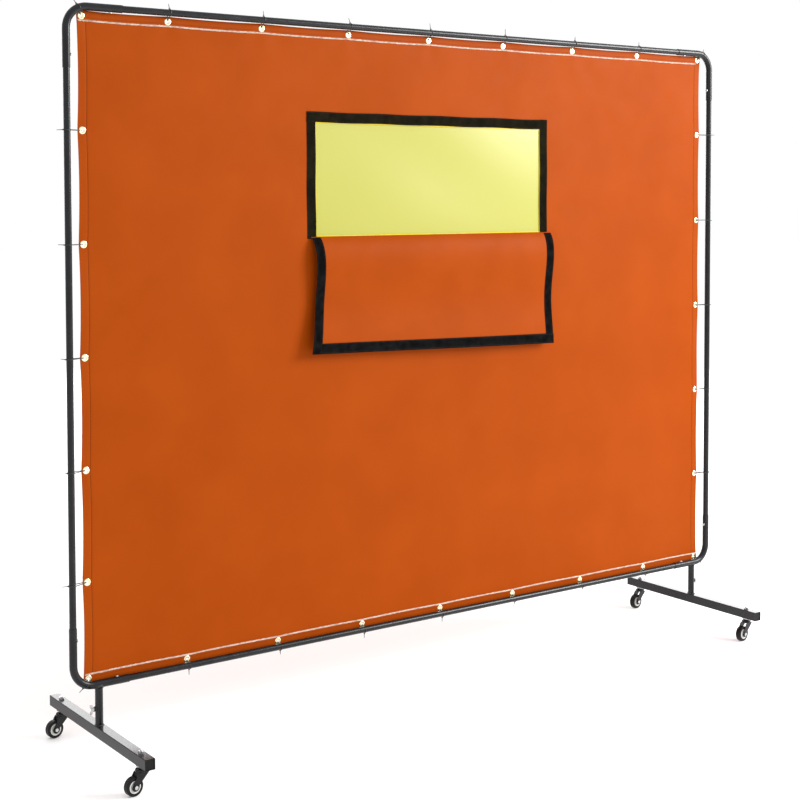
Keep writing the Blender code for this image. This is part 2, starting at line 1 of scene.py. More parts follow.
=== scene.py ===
"""Looks of a mobile welding curtain screen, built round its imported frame.

A coated glass-fibre curtain with a film window hangs by grommets and ties in a frame of round
tube. Metres, +Z up. The front faces -Y. Sheets are grids that follow one hung surface, and
every hard piece starts as a primitive and is shaped in edit mode.
"""

import logging
import math
import random
from collections.abc import Callable, Iterator, Sequence
from contextlib import contextmanager
from dataclasses import dataclass, field
from enum import Enum

import bmesh
import bpy
import numpy as np
from mathutils import Matrix, Vector


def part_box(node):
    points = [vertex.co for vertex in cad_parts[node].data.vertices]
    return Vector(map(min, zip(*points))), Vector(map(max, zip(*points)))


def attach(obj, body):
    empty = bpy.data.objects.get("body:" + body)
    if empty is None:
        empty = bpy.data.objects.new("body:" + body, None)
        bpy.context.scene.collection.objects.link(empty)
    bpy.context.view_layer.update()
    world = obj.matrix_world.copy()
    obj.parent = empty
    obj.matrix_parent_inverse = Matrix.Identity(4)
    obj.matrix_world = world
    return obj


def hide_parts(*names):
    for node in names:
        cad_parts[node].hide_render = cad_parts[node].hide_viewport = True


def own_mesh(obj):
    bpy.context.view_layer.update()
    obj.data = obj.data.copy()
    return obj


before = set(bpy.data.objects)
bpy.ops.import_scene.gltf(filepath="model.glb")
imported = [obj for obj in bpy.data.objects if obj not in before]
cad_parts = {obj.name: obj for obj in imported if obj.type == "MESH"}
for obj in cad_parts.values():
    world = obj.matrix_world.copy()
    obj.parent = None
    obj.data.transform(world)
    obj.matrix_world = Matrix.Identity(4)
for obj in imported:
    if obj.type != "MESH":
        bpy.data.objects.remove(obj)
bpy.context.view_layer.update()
LOG = logging.getLogger("welding_screen")

# Two places closer than this count as one, and a sewn layer stands this far off its cloth.
TOUCH = 1e-5
SKIN = 0.0002

Rgb = tuple[float, float, float]
Spot = tuple[float, float]
Test = Callable[[Vector, Vector], bool]

SIDES = {"left": -1, "right": 1}
ENDS = {"front": -1, "rear": 1}
CORNERS = {
    "top_left": (-1, 1),
    "top_right": (1, 1),
    "bottom_left": (-1, -1),
    "bottom_right": (1, -1),
}


# Modelling bench: primitives, selection in edit mode, and modifiers


class Kind(Enum):
    """What a selection in edit mode is made of."""

    VERT = "VERT"
    EDGE = "EDGE"
    FACE = "FACE"


def clear_bench() -> None:
    """Leaves edit mode with nothing selected."""
    if bpy.context.mode != "OBJECT":
        bpy.ops.object.mode_set(mode="OBJECT")
    bpy.ops.object.select_all(action="DESELECT")


def settle(name: str) -> bpy.types.Object:
    """Names the newest primitive and moves its place into its mesh.

    Args:
        name: The piece's name.

    Returns:
        The primitive, with its object at the origin.
    """
    piece = bpy.context.object
    piece.name = name
    piece.data.name = name
    bpy.ops.object.transform_apply(location=True, rotation=True, scale=True)
    return piece


def add_cylinder(
    name: str,
    radius: float,
    start: Sequence[float],
    end: Sequence[float],
    sides: int = 40,
    capped: bool = True,
) -> bpy.types.Object:
    """Adds a cylinder between two points.

    Args:
        name: The piece's name.
        radius: Its radius.
        start: The centre of its first end.
        end: The centre of its other end.
        sides: Facets round it.
        capped: Whether its ends are closed.

    Returns:
        The cylinder.
    """
    clear_bench()
    first = Vector(start)
    along = Vector(end) - first
    bpy.ops.mesh.primitive_cylinder_add(
        vertices=sides,
        radius=radius,
        depth=along.length,
        end_fill_type="NGON" if capped else "NOTHING",
        location=first + along / 2,
        rotation=along.to_track_quat("Z", "Y").to_euler(),
    )
    return settle(name)


def add_box(name: str, low: Sequence[float], high: Sequence[float]) -> bpy.types.Object:
    """Adds a box between two corners.

    Args:
        name: The piece's name.
        low: Its lowest corner.
        high: Its highest corner.

    Returns:
        The box.
    """
    clear_bench()
    size = Vector(high) - Vector(low)
    bpy.ops.mesh.primitive_cube_add(size=1, location=Vector(low) + size / 2)
    bpy.context.object.scale = size
    return settle(name)


def add_ring(
    name: str,
    centre: Sequence[float],
    axis: Sequence[float],
    major: float,
    minor: float,
    sides: int,
) -> bpy.types.Object:
    """Adds a round ring, eight-sided across.

    Args:
        name: The piece's name.
        centre: The ring's centre.
        axis: The direction that the ring turns about.
        major: Radius to the middle of its section.
        minor: Radius of its section.
        sides: Facets round it.

    Returns:
        The ring.
    """
    clear_bench()
    bpy.ops.mesh.primitive_torus_add(
        major_radius=major,
        minor_radius=minor,
        major_segments=sides,
        minor_segments=8,
        location=centre,
        rotation=Vector(axis).to_track_quat("Z", "Y").to_euler(),
    )
    return settle(name)


@contextmanager
def editing(piece: bpy.types.Object, kind: Kind) -> Iterator[None]:
    """Holds a piece in edit mode, with nothing selected at first.

    Args:
        piece: The piece to edit.
        kind: What is selected in it.
    """
    clear_bench()
    piece.select_set(True)
    bpy.context.view_layer.objects.active = piece
    bpy.ops.object.mode_set(mode="EDIT")
    bpy.ops.mesh.select_mode(type=kind.value)
    bpy.ops.mesh.select_all(action="DESELECT")
    yield
    bpy.ops.object.mode_set(mode="OBJECT")


def choose(piece: bpy.types.Object, kind: Kind, test: Test) -> None:
    """Selects the parts of a piece that pass a test, and nothing else.

    Args:
        piece: The piece, in edit mode.
        kind: Which parts are tested.
        test: Takes a part's middle and its normal, or an edge's direction.
    """
    mesh = bmesh.from_edit_mesh(piece.data)
    bpy.ops.mesh.select_all(action="DESELECT")
    if kind is Kind.VERT:
        found = [part for part in mesh.verts if test(part.co, part.normal)]
    elif kind is Kind.FACE:
        found = [part for part in mesh.faces if test(part.calc_center_median(), part.normal)]
    else:
        found = []
        for part in mesh.edges:
            first, second = (vert.co for vert in part.verts)
            if test((first + second) / 2, (second - first).normalized()):
                found.append(part)
    for part in found:
        part.select_set(True)
    bmesh.update_edit_mesh(piece.data)


def extrude(value: Sequence[float]) -> None:
    """Extrudes the selection and moves it."""
    bpy.ops.mesh.extrude_region_move(TRANSFORM_OT_translate={"value": tuple(value)})


def round_edges(piece: bpy.types.Object, test: Test, offset: float, segments: int = 3) -> None:
    """Rounds the edges of a piece that pass a test.

    Args:
        piece: The piece.
        test: Takes an edge's middle and its direction.
        offset: How far the rounding reaches from the edge.
        segments: Facets across the rounding.
    """
    with editing(piece, Kind.EDGE):
        choose(piece, Kind.EDGE, test)
        bpy.ops.mesh.bevel(offset=offset, segments=segments, affect="EDGES", clamp_overlap=True)


def recess(piece: bpy.types.Object, test: Test, steps: Sequence[tuple[float, float]]) -> None:
    """Insets the faces that pass a test, once for each step.

    Args:
        piece: The piece.
        test: Takes a face's middle and its normal.
        steps: The width and the height of each inset. A height below zero goes inwards.
    """
    with editing(piece, Kind.FACE):
        choose(piece, Kind.FACE, test)
        for width, height in steps:
            bpy.ops.mesh.inset(thickness=width, depth=height)


def modify(piece: bpy.types.Object, kind: str, **settings: object) -> None:
    """Adds a modifier to a piece and applies it.

    Args:
        piece: The piece.
        kind: The modifier's type.
        settings: Values for the modifier's own settings.
    """
    clear_bench()
    piece.select_set(True)
    bpy.context.view_layer.objects.active = piece
    modifier = piece.modifiers.new(kind.lower(), kind)
    for setting, value in settings.items():
        setattr(modifier, setting, value)
    bpy.ops.object.modifier_apply(modifier=modifier.name)


def face_outwards(piece: bpy.types.Object) -> None:
    """Merges doubled points and turns every face of a closed piece outwards."""
    with editing(piece, Kind.FACE):
        bpy.ops.mesh.select_all(action="SELECT")
        bpy.ops.mesh.remove_doubles(threshold=1e-6)
        bpy.ops.mesh.normals_make_consistent(inside=False)


def wall_in(tube: bpy.types.Object, thickness: float) -> None:
    """Turns an open tube's faces outwards and gives it a wall on its inner side."""
    face_outwards(tube)
    modify(tube, "SOLIDIFY", thickness=thickness, offset=-1)


def join(name: str, pieces: Sequence[bpy.types.Object]) -> bpy.types.Object:
    """Joins pieces into the first of them.

    Args:
        name: The joined piece's name.
        pieces: The pieces.

    Returns:
        The joined piece.
    """
    clear_bench()
    for piece in pieces:
        piece.select_set(True)
    bpy.context.view_layer.objects.active = pieces[0]
    bpy.ops.object.join()
    pieces[0].name = name
    pieces[0].data.name = name
    return pieces[0]


def copy_to(piece: bpy.types.Object, name: str, place: Matrix) -> bpy.types.Object:
    """Copies a piece, mesh and all, to a place.

    Args:
        piece: The piece, modelled at the origin.
        name: The copy's name.
        place: Where the copy goes.

    Returns:
        The copy, with its place in its mesh.
    """
    twin = piece.copy()
    twin.data = piece.data.copy()
    twin.name = name
    twin.data.name = name
    twin.data.transform(place)
    if place.determinant() < 0:
        twin.data.flip_normals()
    bpy.context.scene.collection.objects.link(twin)
    return twin


def facing(point: Sequence[float], direction: Sequence[float]) -> Matrix:
    """Returns a place at the point whose Z axis runs along the direction."""
    turn = Vector(direction).to_track_quat("Z", "Y").to_matrix().to_4x4()
    return Matrix.Translation(Vector(point)) @ turn


def centre_of(node: str) -> Vector:
    """Returns the middle of a CAD node's box."""
    low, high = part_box(node)
    return (low + high) / 2


# Finishes


class Grain(Enum):
    """The small relief of a surface."""

    PEEL = "orange peel of sprayed powder"
    SPECKLE = "fine moulded or worn grain"
    WEAVE = "plain weave under a thin coat"
    LOOPS = "dense loops or hooks"
    RIBS = "narrow ribs along X"


@dataclass(frozen=True)
class Finish:
    """One finish: two colours in soft clouds, a range of gloss, and a small relief."""

    name: str
    slot: str
    colour: Rgb
    second: Rgb
    grain: Grain
    grain_size: float
    grain_depth: float
    roughness: tuple[float, float] = (0.4, 0.5)
    cloud_size: float = 0.05
    metallic: float = 0.0
    specular: float = 0.5
    hard: bool = True
    cloud_edges: tuple[float, float] = (0.35, 0.68)
    gloss_edges: tuple[float, float] = (0.3, 0.7)

    def material(self) -> bpy.types.Material:
        """Returns the finish's material, making it the first time."""
        known = bpy.data.materials.get(self.name)
        if known:
            return known
        material = bpy.data.materials.new(self.name)
        material.use_nodes = True
        tree = material.node_tree
        shader = tree.nodes["Principled BSDF"]
        shader.inputs["Metallic"].default_value = self.metallic
        shader.inputs["Specular IOR Level"].default_value = self.specular
        place = tree.nodes.new("ShaderNodeTexCoord").outputs["Object"]
        clouds = self.noise(tree, place, self.cloud_size, 4.0)
        self.wire_colour(tree, shader, clouds)
        self.wire_gloss(tree, shader, place)
        self.wire_relief(tree, shader, place)
        return material

    def noise(
        self, tree: bpy.types.NodeTree, place: bpy.types.NodeSocket, size: float, detail: float
    ) -> bpy.types.NodeSocket:
        """Adds a noise texture.

        Args:
            tree: The material's nodes.
            place: The coordinates it reads.
            size: The size of its largest clouds.
            detail: How many finer layers it has.

        Returns:
            Its grey value.
        """
        node = tree.nodes.new("ShaderNodeTexNoise")
        node.inputs["Scale"].default_value = 1 / size
        node.inputs["Detail"].default_value = detail
        tree.links.new(place, node.inputs["Vector"])
        return node.outputs["Fac"]

    def wire_colour(
        self,
        tree: bpy.types.NodeTree,
        shader: bpy.types.Node,
        clouds: bpy.types.NodeSocket,
    ) -> None:
        """Blends the two colours by the clouds.

        Args:
            tree: The material's nodes.
            shader: The shader that takes the colour.
            clouds: The grey value that blends them.
        """
        ramp = tree.nodes.new("ShaderNodeValToRGB")
        colours = (self.colour, self.second)
        for stop, edge, colour in zip(ramp.color_ramp.elements, self.cloud_edges, colours):
            stop.position = edge
            stop.color = (*colour, 1)
        tree.links.new(clouds, ramp.inputs["Fac"])
        tree.links.new(ramp.outputs["Color"], shader.inputs["Base Color"])

    def wire_gloss(
        self, tree: bpy.types.NodeTree, shader: bpy.types.Node, place: bpy.types.NodeSocket
    ) -> None:
        """Spreads the roughness over its range.

        Args:
            tree: The material's nodes.
            shader: The shader that takes the roughness.
            place: The coordinates that the pattern reads.
        """
        spread = tree.nodes.new("ShaderNodeMapRange")
        ends = (*self.gloss_edges, *self.roughness)
        for socket, value in zip(("From Min", "From Max", "To Min", "To Max"), ends):
            spread.inputs[socket].default_value = value
        tree.links.new(self.noise(tree, place, self.cloud_size / 3, 3.0), spread.inputs["Value"])
        tree.links.new(spread.outputs["Result"], shader.inputs["Roughness"])

    def wire_relief(
        self, tree: bpy.types.NodeTree, shader: bpy.types.Node, place: bpy.types.NodeSocket
    ) -> None:
        """Adds the grain as a bump.

        Args:
            tree: The material's nodes.
            shader: The shader that takes the normal.
            place: The coordinates that the grain reads.
        """
        bump = tree.nodes.new("ShaderNodeBump")
        bump.inputs["Strength"].default_value = 1.0
        bump.inputs["Distance"].default_value = self.grain_depth
        tree.links.new(self.height(tree, place), bump.inputs["Height"])
        tree.links.new(bump.outputs["Normal"], shader.inputs["Normal"])

    def height(
        self, tree: bpy.types.NodeTree, place: bpy.types.NodeSocket
    ) -> bpy.types.NodeSocket:
        """Adds the grain's texture.

        Args:
            tree: The material's nodes.
            place: The coordinates that the grain reads.

        Returns:
            Its height, from 0 to 1.
        """
        if self.grain in (Grain.PEEL, Grain.SPECKLE):
            detail = 1.0 if self.grain is Grain.PEEL else 5.0
            return self.noise(tree, place, self.grain_size, detail)
        if self.grain is Grain.LOOPS:
            cells = tree.nodes.new("ShaderNodeTexVoronoi")
            cells.inputs["Scale"].default_value = 1 / self.grain_size
            tree.links.new(place, cells.inputs["Vector"])
            return cells.outputs["Distance"]
        bands = []
        for direction in ("X",) if self.grain is Grain.RIBS else ("X", "Z"):
            wave = tree.nodes.new("ShaderNodeTexWave")
            wave.bands_direction = direction
            wave.inputs["Scale"].default_value = math.pi / 10 / self.grain_size
            wave.inputs["Distortion"].default_value = 0.6
            wave.inputs["Detail"].default_value = 1.0
            tree.links.new(place, wave.inputs["Vector"])
            bands.append(wave.outputs["Fac"])
        if len(bands) == 1:
            return bands[0]
        weave = tree.nodes.new("ShaderNodeMath")
        weave.operation = "MULTIPLY"
        tree.links.new(bands[0], weave.inputs[0])
        tree.links.new(bands[1], weave.inputs[1])
        return weave.outputs["Value"]


POWDER_COAT = Finish(
    "black_powder_coat", "powder_coat", (0.004, 0.0045, 0.0055), (0.009, 0.010, 0.012),
    Grain.PEEL, 0.0022, 0.00010, roughness=(0.22, 0.32), specular=0.30,
)
BAR_COAT = Finish(
    "textured_powder_coat", "powder_coat", (0.006, 0.006, 0.0075), (0.021, 0.021, 0.024),
    Grain.SPECKLE, 0.0016, 0.00008, roughness=(0.14, 0.24), cloud_size=0.004, specular=0.28,
)
WELD_STEEL = Finish(
    "coated_weld_bead", "powder_coat", (0.012, 0.012, 0.013), (0.03, 0.03, 0.03),
    Grain.SPECKLE, 0.001, 0.0002, roughness=(0.35, 0.55), cloud_size=0.006,
)
ZINC = Finish(
    "zinc_plate", "zinc", (0.62, 0.63, 0.64), (0.42, 0.43, 0.45),
    Grain.SPECKLE, 0.0012, 0.00004, roughness=(0.16, 0.36), cloud_size=0.006, metallic=1.0,
)
FORK_BLACK = Finish(
    "black_pressed_steel", "powder_coat", (0.003, 0.003, 0.004), (0.009, 0.009, 0.011),
    Grain.SPECKLE, 0.0016, 0.00005, roughness=(0.14, 0.26), cloud_size=0.008, specular=0.26,
)
PLUG_PLASTIC = Finish(
    "moulded_plug", "plug", (0.004, 0.004, 0.004), (0.008, 0.008, 0.008),
    Grain.SPECKLE, 0.0009, 0.00005, roughness=(0.45, 0.6), cloud_size=0.008, specular=0.2,
)
TYRE_RUBBER = Finish(
    "black_polyurethane_tyre", "tyre", (0.005, 0.005, 0.0055), (0.012, 0.012, 0.012),
    Grain.SPECKLE, 0.0012, 0.00008, roughness=(0.25, 0.45), cloud_size=0.010, specular=0.16,
)
RIM_PLASTIC = Finish(
    "pale_moulded_rim", "rim", (0.78, 0.77, 0.73), (0.66, 0.65, 0.61),
    Grain.SPECKLE, 0.0014, 0.00004, roughness=(0.28, 0.45), cloud_size=0.008,
)
CURTAIN_CLOTH = Finish(
    "coated_glass_cloth", "coated_fabric", (0.304, 0.0465, 0.0008), (0.331, 0.0525, 0.0016),
    Grain.WEAVE, 0.0013, 0.00008, roughness=(0.42, 0.52), cloud_size=0.22, specular=0.04,
    hard=False,
)
FLAP_CLOTH = Finish(
    "flap_glass_cloth", "coated_fabric", (0.302, 0.0460, 0.0008), (0.328, 0.0515, 0.0016),
    Grain.WEAVE, 0.0013, 0.00008, roughness=(0.42, 0.52), cloud_size=0.16, specular=0.04,
    hard=False,
)
RAW_EDGE = Finish(
    "frayed_glass_yarn", "coated_fabric", (0.74, 0.63, 0.54), (0.52, 0.36, 0.27),
    Grain.SPECKLE, 0.0010, 0.0003, roughness=(0.6, 0.8), cloud_size=0.012, hard=False,
)
DARK_THREAD = Finish(
    "dark_seam_thread", "coated_fabric", (0.045, 0.010, 0.004), (0.085, 0.017, 0.007),
    Grain.SPECKLE, 0.0008, 0.0001, roughness=(0.5, 0.7), cloud_size=0.01, specular=0.1, hard=False,
)
BLACK_THREAD = Finish(
    "black_tape_thread", "tape", (0.020, 0.020, 0.021), (0.035, 0.035, 0.036),
    Grain.SPECKLE, 0.0008, 0.0001, roughness=(0.5, 0.7), cloud_size=0.01, specular=0.2, hard=False,
)
HOOK_TAPE = Finish(
    "hook_tape", "tape", (0.007, 0.0062, 0.004), (0.013, 0.011, 0.006),
    Grain.LOOPS, 0.0011, 0.0004, roughness=(0.75, 0.95), cloud_size=0.03, specular=0.0, hard=False,
)
LOOP_TAPE = Finish(
    "loop_tape", "tape", (0.004, 0.004, 0.004), (0.009, 0.009, 0.009),
    Grain.LOOPS, 0.0009, 0.0003, roughness=(0.8, 0.95), cloud_size=0.02, specular=0.0, hard=False,
)
WINDOW_FILM = Finish(
    "tinted_window_film", "pane", (0.368, 0.360, 0.046), (0.382, 0.373, 0.054),
    Grain.PEEL, 0.400, 0.0004, roughness=(0.275, 0.285), cloud_size=1.6, hard=False,
)
# Painted glow: the film's yellow edge at the opening, coloured brighter than the film as light
# shining through it.
FILM_EDGE_GLOW = Finish(
    "film_edge_and_painted_glow", "pane", (0.60, 0.44, 0.0), (0.68, 0.50, 0.0),
    Grain.SPECKLE, 0.002, 0.00005, roughness=(0.3, 0.4), cloud_size=0.02, specular=0.2, hard=False,
)
BRASS = Finish(
    "brass_grommet", "zinc", (0.86, 0.78, 0.44), (0.92, 0.86, 0.60),
    Grain.SPECKLE, 0.0012, 0.00003, roughness=(0.14, 0.26), cloud_size=0.006, metallic=1.0,
)
TIE_NYLON = Finish(
    "black_nylon_tie", "plug", (0.010, 0.010, 0.011), (0.018, 0.018, 0.019),
    Grain.RIBS, 0.0009, 0.0001, roughness=(0.35, 0.5), cloud_size=0.01,
)


def dress(
    piece: bpy.types.Object,
    finish: Finish,
    replaces: Sequence[str] = (),
    smooth: float = 35.0,
    body: str = "screen",
) -> bpy.types.Object:
    """Shades a piece, gives it its finish and puts it on a body.

    Args:
        piece: The piece.
        finish: Its finish.
        replaces: The CAD nodes that it stands for.
        smooth: Edges sharper than this, in degrees, stay sharp.
        body: The CAD body that it moves with.

    Returns:
        The piece.
    """
    clear_bench()
    piece.select_set(True)
    bpy.context.view_layer.objects.active = piece
    bpy.ops.object.shade_smooth_by_angle(angle=math.radians(smooth))
    if finish.hard:
        modify(piece, "WEIGHTED_NORMAL", keep_sharp=True, weight=60)
    piece.data.materials.clear()
    piece.data.materials.append(finish.material())
    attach(piece, body)
    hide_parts(*replaces)
    LOG.info("%s: %s, on %s", piece.name, finish.name, body)
    return piece


def discard(pieces: Sequence[bpy.types.Object]) -> None:
    """Removes the models that copies were made from."""
    for piece in pieces:
        bpy.data.objects.remove(piece)


# Frame of round tube


@dataclass
class TubeFrame:
    """The round tubes, the sleeved corner elbows with their legs, and the corner screws."""

    post: tuple[Vector, Vector] = field(default_factory=lambda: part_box("right_post"))
    elbow: tuple[Vector, Vector] = field(default_factory=lambda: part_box("top_right_elbow"))
    foot: tuple[Vector, Vector] = field(default_factory=lambda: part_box("right_foot_bar"))
    top_z: float = field(default_factory=lambda: centre_of("top_rail").z)
    bottom_z: float = field(default_factory=lambda: centre_of("bottom_rail").z)
    bend: float = 0.060
    wall: float = 0.0012
    gap: float = 0.0003
    sides: int = 40
    bend_steps: int = 14
    boss_radius: float = 0.0065
    boss_length: float = 0.006
    boss_edge: float = 0.0008
    boss_bead: float = 0.0011
    bead: float = 0.0017
    bead_sink: float = 0.0006
    bead_swell: float = 0.22
    bead_ripples: int = 24
    screw_radius: float = 0.002
    screw_length: float = 0.0075
    screw_head: float = 0.0045
    screw_height: float = 0.0026
    screw_dome: float = 0.0012
    slot_length: float = 0.0026
    slot_width: float = 0.0006

    @property
    def post_x(self) -> float:
        """Distance of a post's centre line from the middle."""
        return (self.post[0].x + self.post[1].x) / 2

    @property
    def tube(self) -> float:
        """Radius of the straight tubes."""
        return (self.post[1].y - self.post[0].y) / 2

    @property
    def sleeve(self) -> float:
        """Radius of the elbows' sleeves."""
        return (self.elbow[1].y - self.elbow[0].y) / 2

    @property
    def reach(self) -> float:
        """How far a sleeve reaches from its corner."""
        return self.post_x - self.elbow[0].x

    @property
    def leg_x(self) -> float:
        """Distance of a leg's centre line from the middle."""
        return (self.foot[0].x + self.foot[1].x) / 2

    def build(self) -> None:
        """Builds every piece of the tube frame."""
        screw = self.model_screw()
        for corner in CORNERS:
            self.build_elbow(corner)
            self.build_screws(corner, screw)
        discard([screw])
        for tube in ("left_post", "right_post", "top_rail", "bottom_rail"):
            self.build_tube(tube)

    def corner(self, corner: str, inwards: float = 0.0, level_in: float = 0.0) -> Vector:
        """Returns a point near a corner, moved towards the middle along X and along Z."""
        side, level = CORNERS[corner]
        height = self.top_z if level > 0 else self.bottom_z
        return Vector((side * (self.post_x - inwards), 0, height - level * level_in))

    def build_elbow(self, corner: str) -> None:
        """Builds one elbow: a ring drawn up the post, spun round the bend and drawn along the rail.

        Args:
            corner: The corner's name.
        """
        side, level = CORNERS[corner]
        straight = self.reach - self.bend
        start = self.corner(corner, 0, self.reach)
        end = self.corner(corner, 0, self.bend)
        elbow = add_cylinder(corner + "_sleeve", self.sleeve, start, end, self.sides, capped=False)
        with editing(elbow, Kind.EDGE):
            choose(elbow, Kind.EDGE, lambda middle, along: abs(middle.z - end.z) < self.gap)
            bpy.ops.mesh.spin(
                steps=self.bend_steps,
                angle=side * level * math.pi / 2,
                center=self.corner(corner, self.bend, self.bend),
                axis=(0, 1, 0),
            )
            extrude((-side * straight, 0, 0))
        wall_in(elbow, self.wall)
        if level < 0:
            elbow = join(elbow.name, [elbow, *self.model_leg(side)])
        dress(elbow, POWDER_COAT, [corner + "_elbow"])
        if level < 0:
            self.build_welds(corner, side)

    def model_leg(self, side: int) -> list[bpy.types.Object]:
        """Models a leg tube and the boss of its wing bolt.

        Args:
            side: -1 on the left and 1 on the right.

        Returns:
            The leg and the boss.
        """
        x = side * self.leg_x
        foot = self.foot[1].z - self.foot_step()
        low = (x, 0, foot + self.gap)
        high = (x, 0, self.bottom_z - self.sleeve + self.wall)
        leg = add_cylinder("leg", self.sleeve, low, high, self.sides, capped=False)
        wall_in(leg, self.wall)
        bolt_z = centre_of("right_wing_bolt").z
        inner = (x + side * (self.sleeve - self.wall), 0, bolt_z)
        outer = (x + side * (self.sleeve + self.boss_length), 0, bolt_z)
        boss = add_cylinder("boss", self.boss_radius, inner, outer, 28)
        rim = abs(outer[0])
        round_edges(boss, lambda middle, along: abs(middle.x) > rim - self.gap, self.boss_edge, 2)
        return [leg, boss]

    def foot_step(self) -> float:
        """Returns how far the spigot's top stands over the bar's top face."""
        bar = self.foot[1].x - self.foot[0].x
        return self.foot[1].z - self.foot[0].z - bar

    def build_welds(self, corner: str, side: int) -> None:
        """Builds the rippled bead where a leg meets its sleeve, and the one at its boss.

        Args:
            corner: The corner's name.
            side: -1 on the left and 1 on the right.
        """
        x = side * self.leg_x
        bead = add_ring("bead", (x, 0, self.bottom_z), (0, 0, 1), self.sleeve, self.bead, 72)
        for vert in bead.data.vertices:
            angle = math.atan2(vert.co.y, vert.co.x - x)
            across = vert.co.y
            saddle = math.sqrt(max(self.sleeve**2 - min(across**2, self.sleeve**2), 0))
            swell = 1 + self.bead_swell * math.sin(self.bead_ripples * angle)
            rise = (vert.co.z - self.bottom_z) * swell
            vert.co.z = self.bottom_z - saddle + rise - self.bead_sink
        bead.name = corner + "_leg_weld"
        dress(bead, WELD_STEEL, smooth=70)
        boss_x = x + side * (self.sleeve + self.gap)
        bolt_z = centre_of("right_wing_bolt").z
        centre = (boss_x, 0, bolt_z)
        name = corner + "_boss_weld"
        ring = add_ring(name, centre, (1, 0, 0), self.boss_radius, self.boss_bead, 40)
        dress(ring, WELD_STEEL, smooth=70)

    def build_tube(self, name: str) -> None:
        """Builds a straight tube with its wall, along its CAD node.

        Args:
            name: The CAD node's name.
        """
        low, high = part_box(name)
        middle = (low + high) / 2
        along = 2 if high.z - low.z > high.x - low.x else 0
        ends = [middle.copy(), middle.copy()]
        ends[0][along], ends[1][along] = low[along], high[along]
        tube = add_cylinder(name + "_tube", self.tube, ends[0], ends[1], self.sides, capped=False)
        wall_in(tube, self.wall)
        dress(tube, POWDER_COAT, [name])

    def model_screw(self) -> bpy.types.Object:
        """Models a pan-head screw with a cross slot, standing on the origin along Z.

        Returns:
            The screw.
        """
        seat = self.sleeve + self.gap
        top = seat + self.screw_height
        head = add_cylinder("head", self.screw_head, (0, 0, seat), (0, 0, top), 28)
        round_edges(head, lambda middle, along: middle.z > top - self.gap, self.screw_dome, 3)
        slots = []
        floor, clear = top - self.screw_dome, top + 0.001
        long, short = self.slot_length, self.slot_width
        for wide, deep in ((long, short), (short, long)):
            slots.append(add_box("slot", (-wide, -deep, floor), (wide, deep, clear)))
        for slot in slots:
            modify(head, "BOOLEAN", object=slot, operation="DIFFERENCE", solver="EXACT")
        discard(slots)
        tip = (0, 0, seat - self.screw_length)
        shank = add_cylinder("shank", self.screw_radius, tip, (0, 0, seat), 16)
        return join("corner_screw_model", [head, shank])

    def build_screws(self, corner: str, model: bpy.types.Object) -> None:
        """Puts the two screws of a corner in their sleeves.

        Args:
            corner: The corner's name.
            model: The screw to copy.
        """
        side, level = CORNERS[corner]
        for end, direction in (("post", (-side, 0, 0)), ("rail", (0, 0, -level))):
            node = f"{corner}_{end}_screw"
            middle = centre_of(node)
            on_axis = self.corner(corner)
            if end == "post":
                on_axis.z = middle.z
            else:
                on_axis.x = middle.x
            screw = copy_to(model, node + "_cross_head", facing(on_axis, direction))
            dress(screw, ZINC, [node])


# Foot bars with plugs and wing bolts


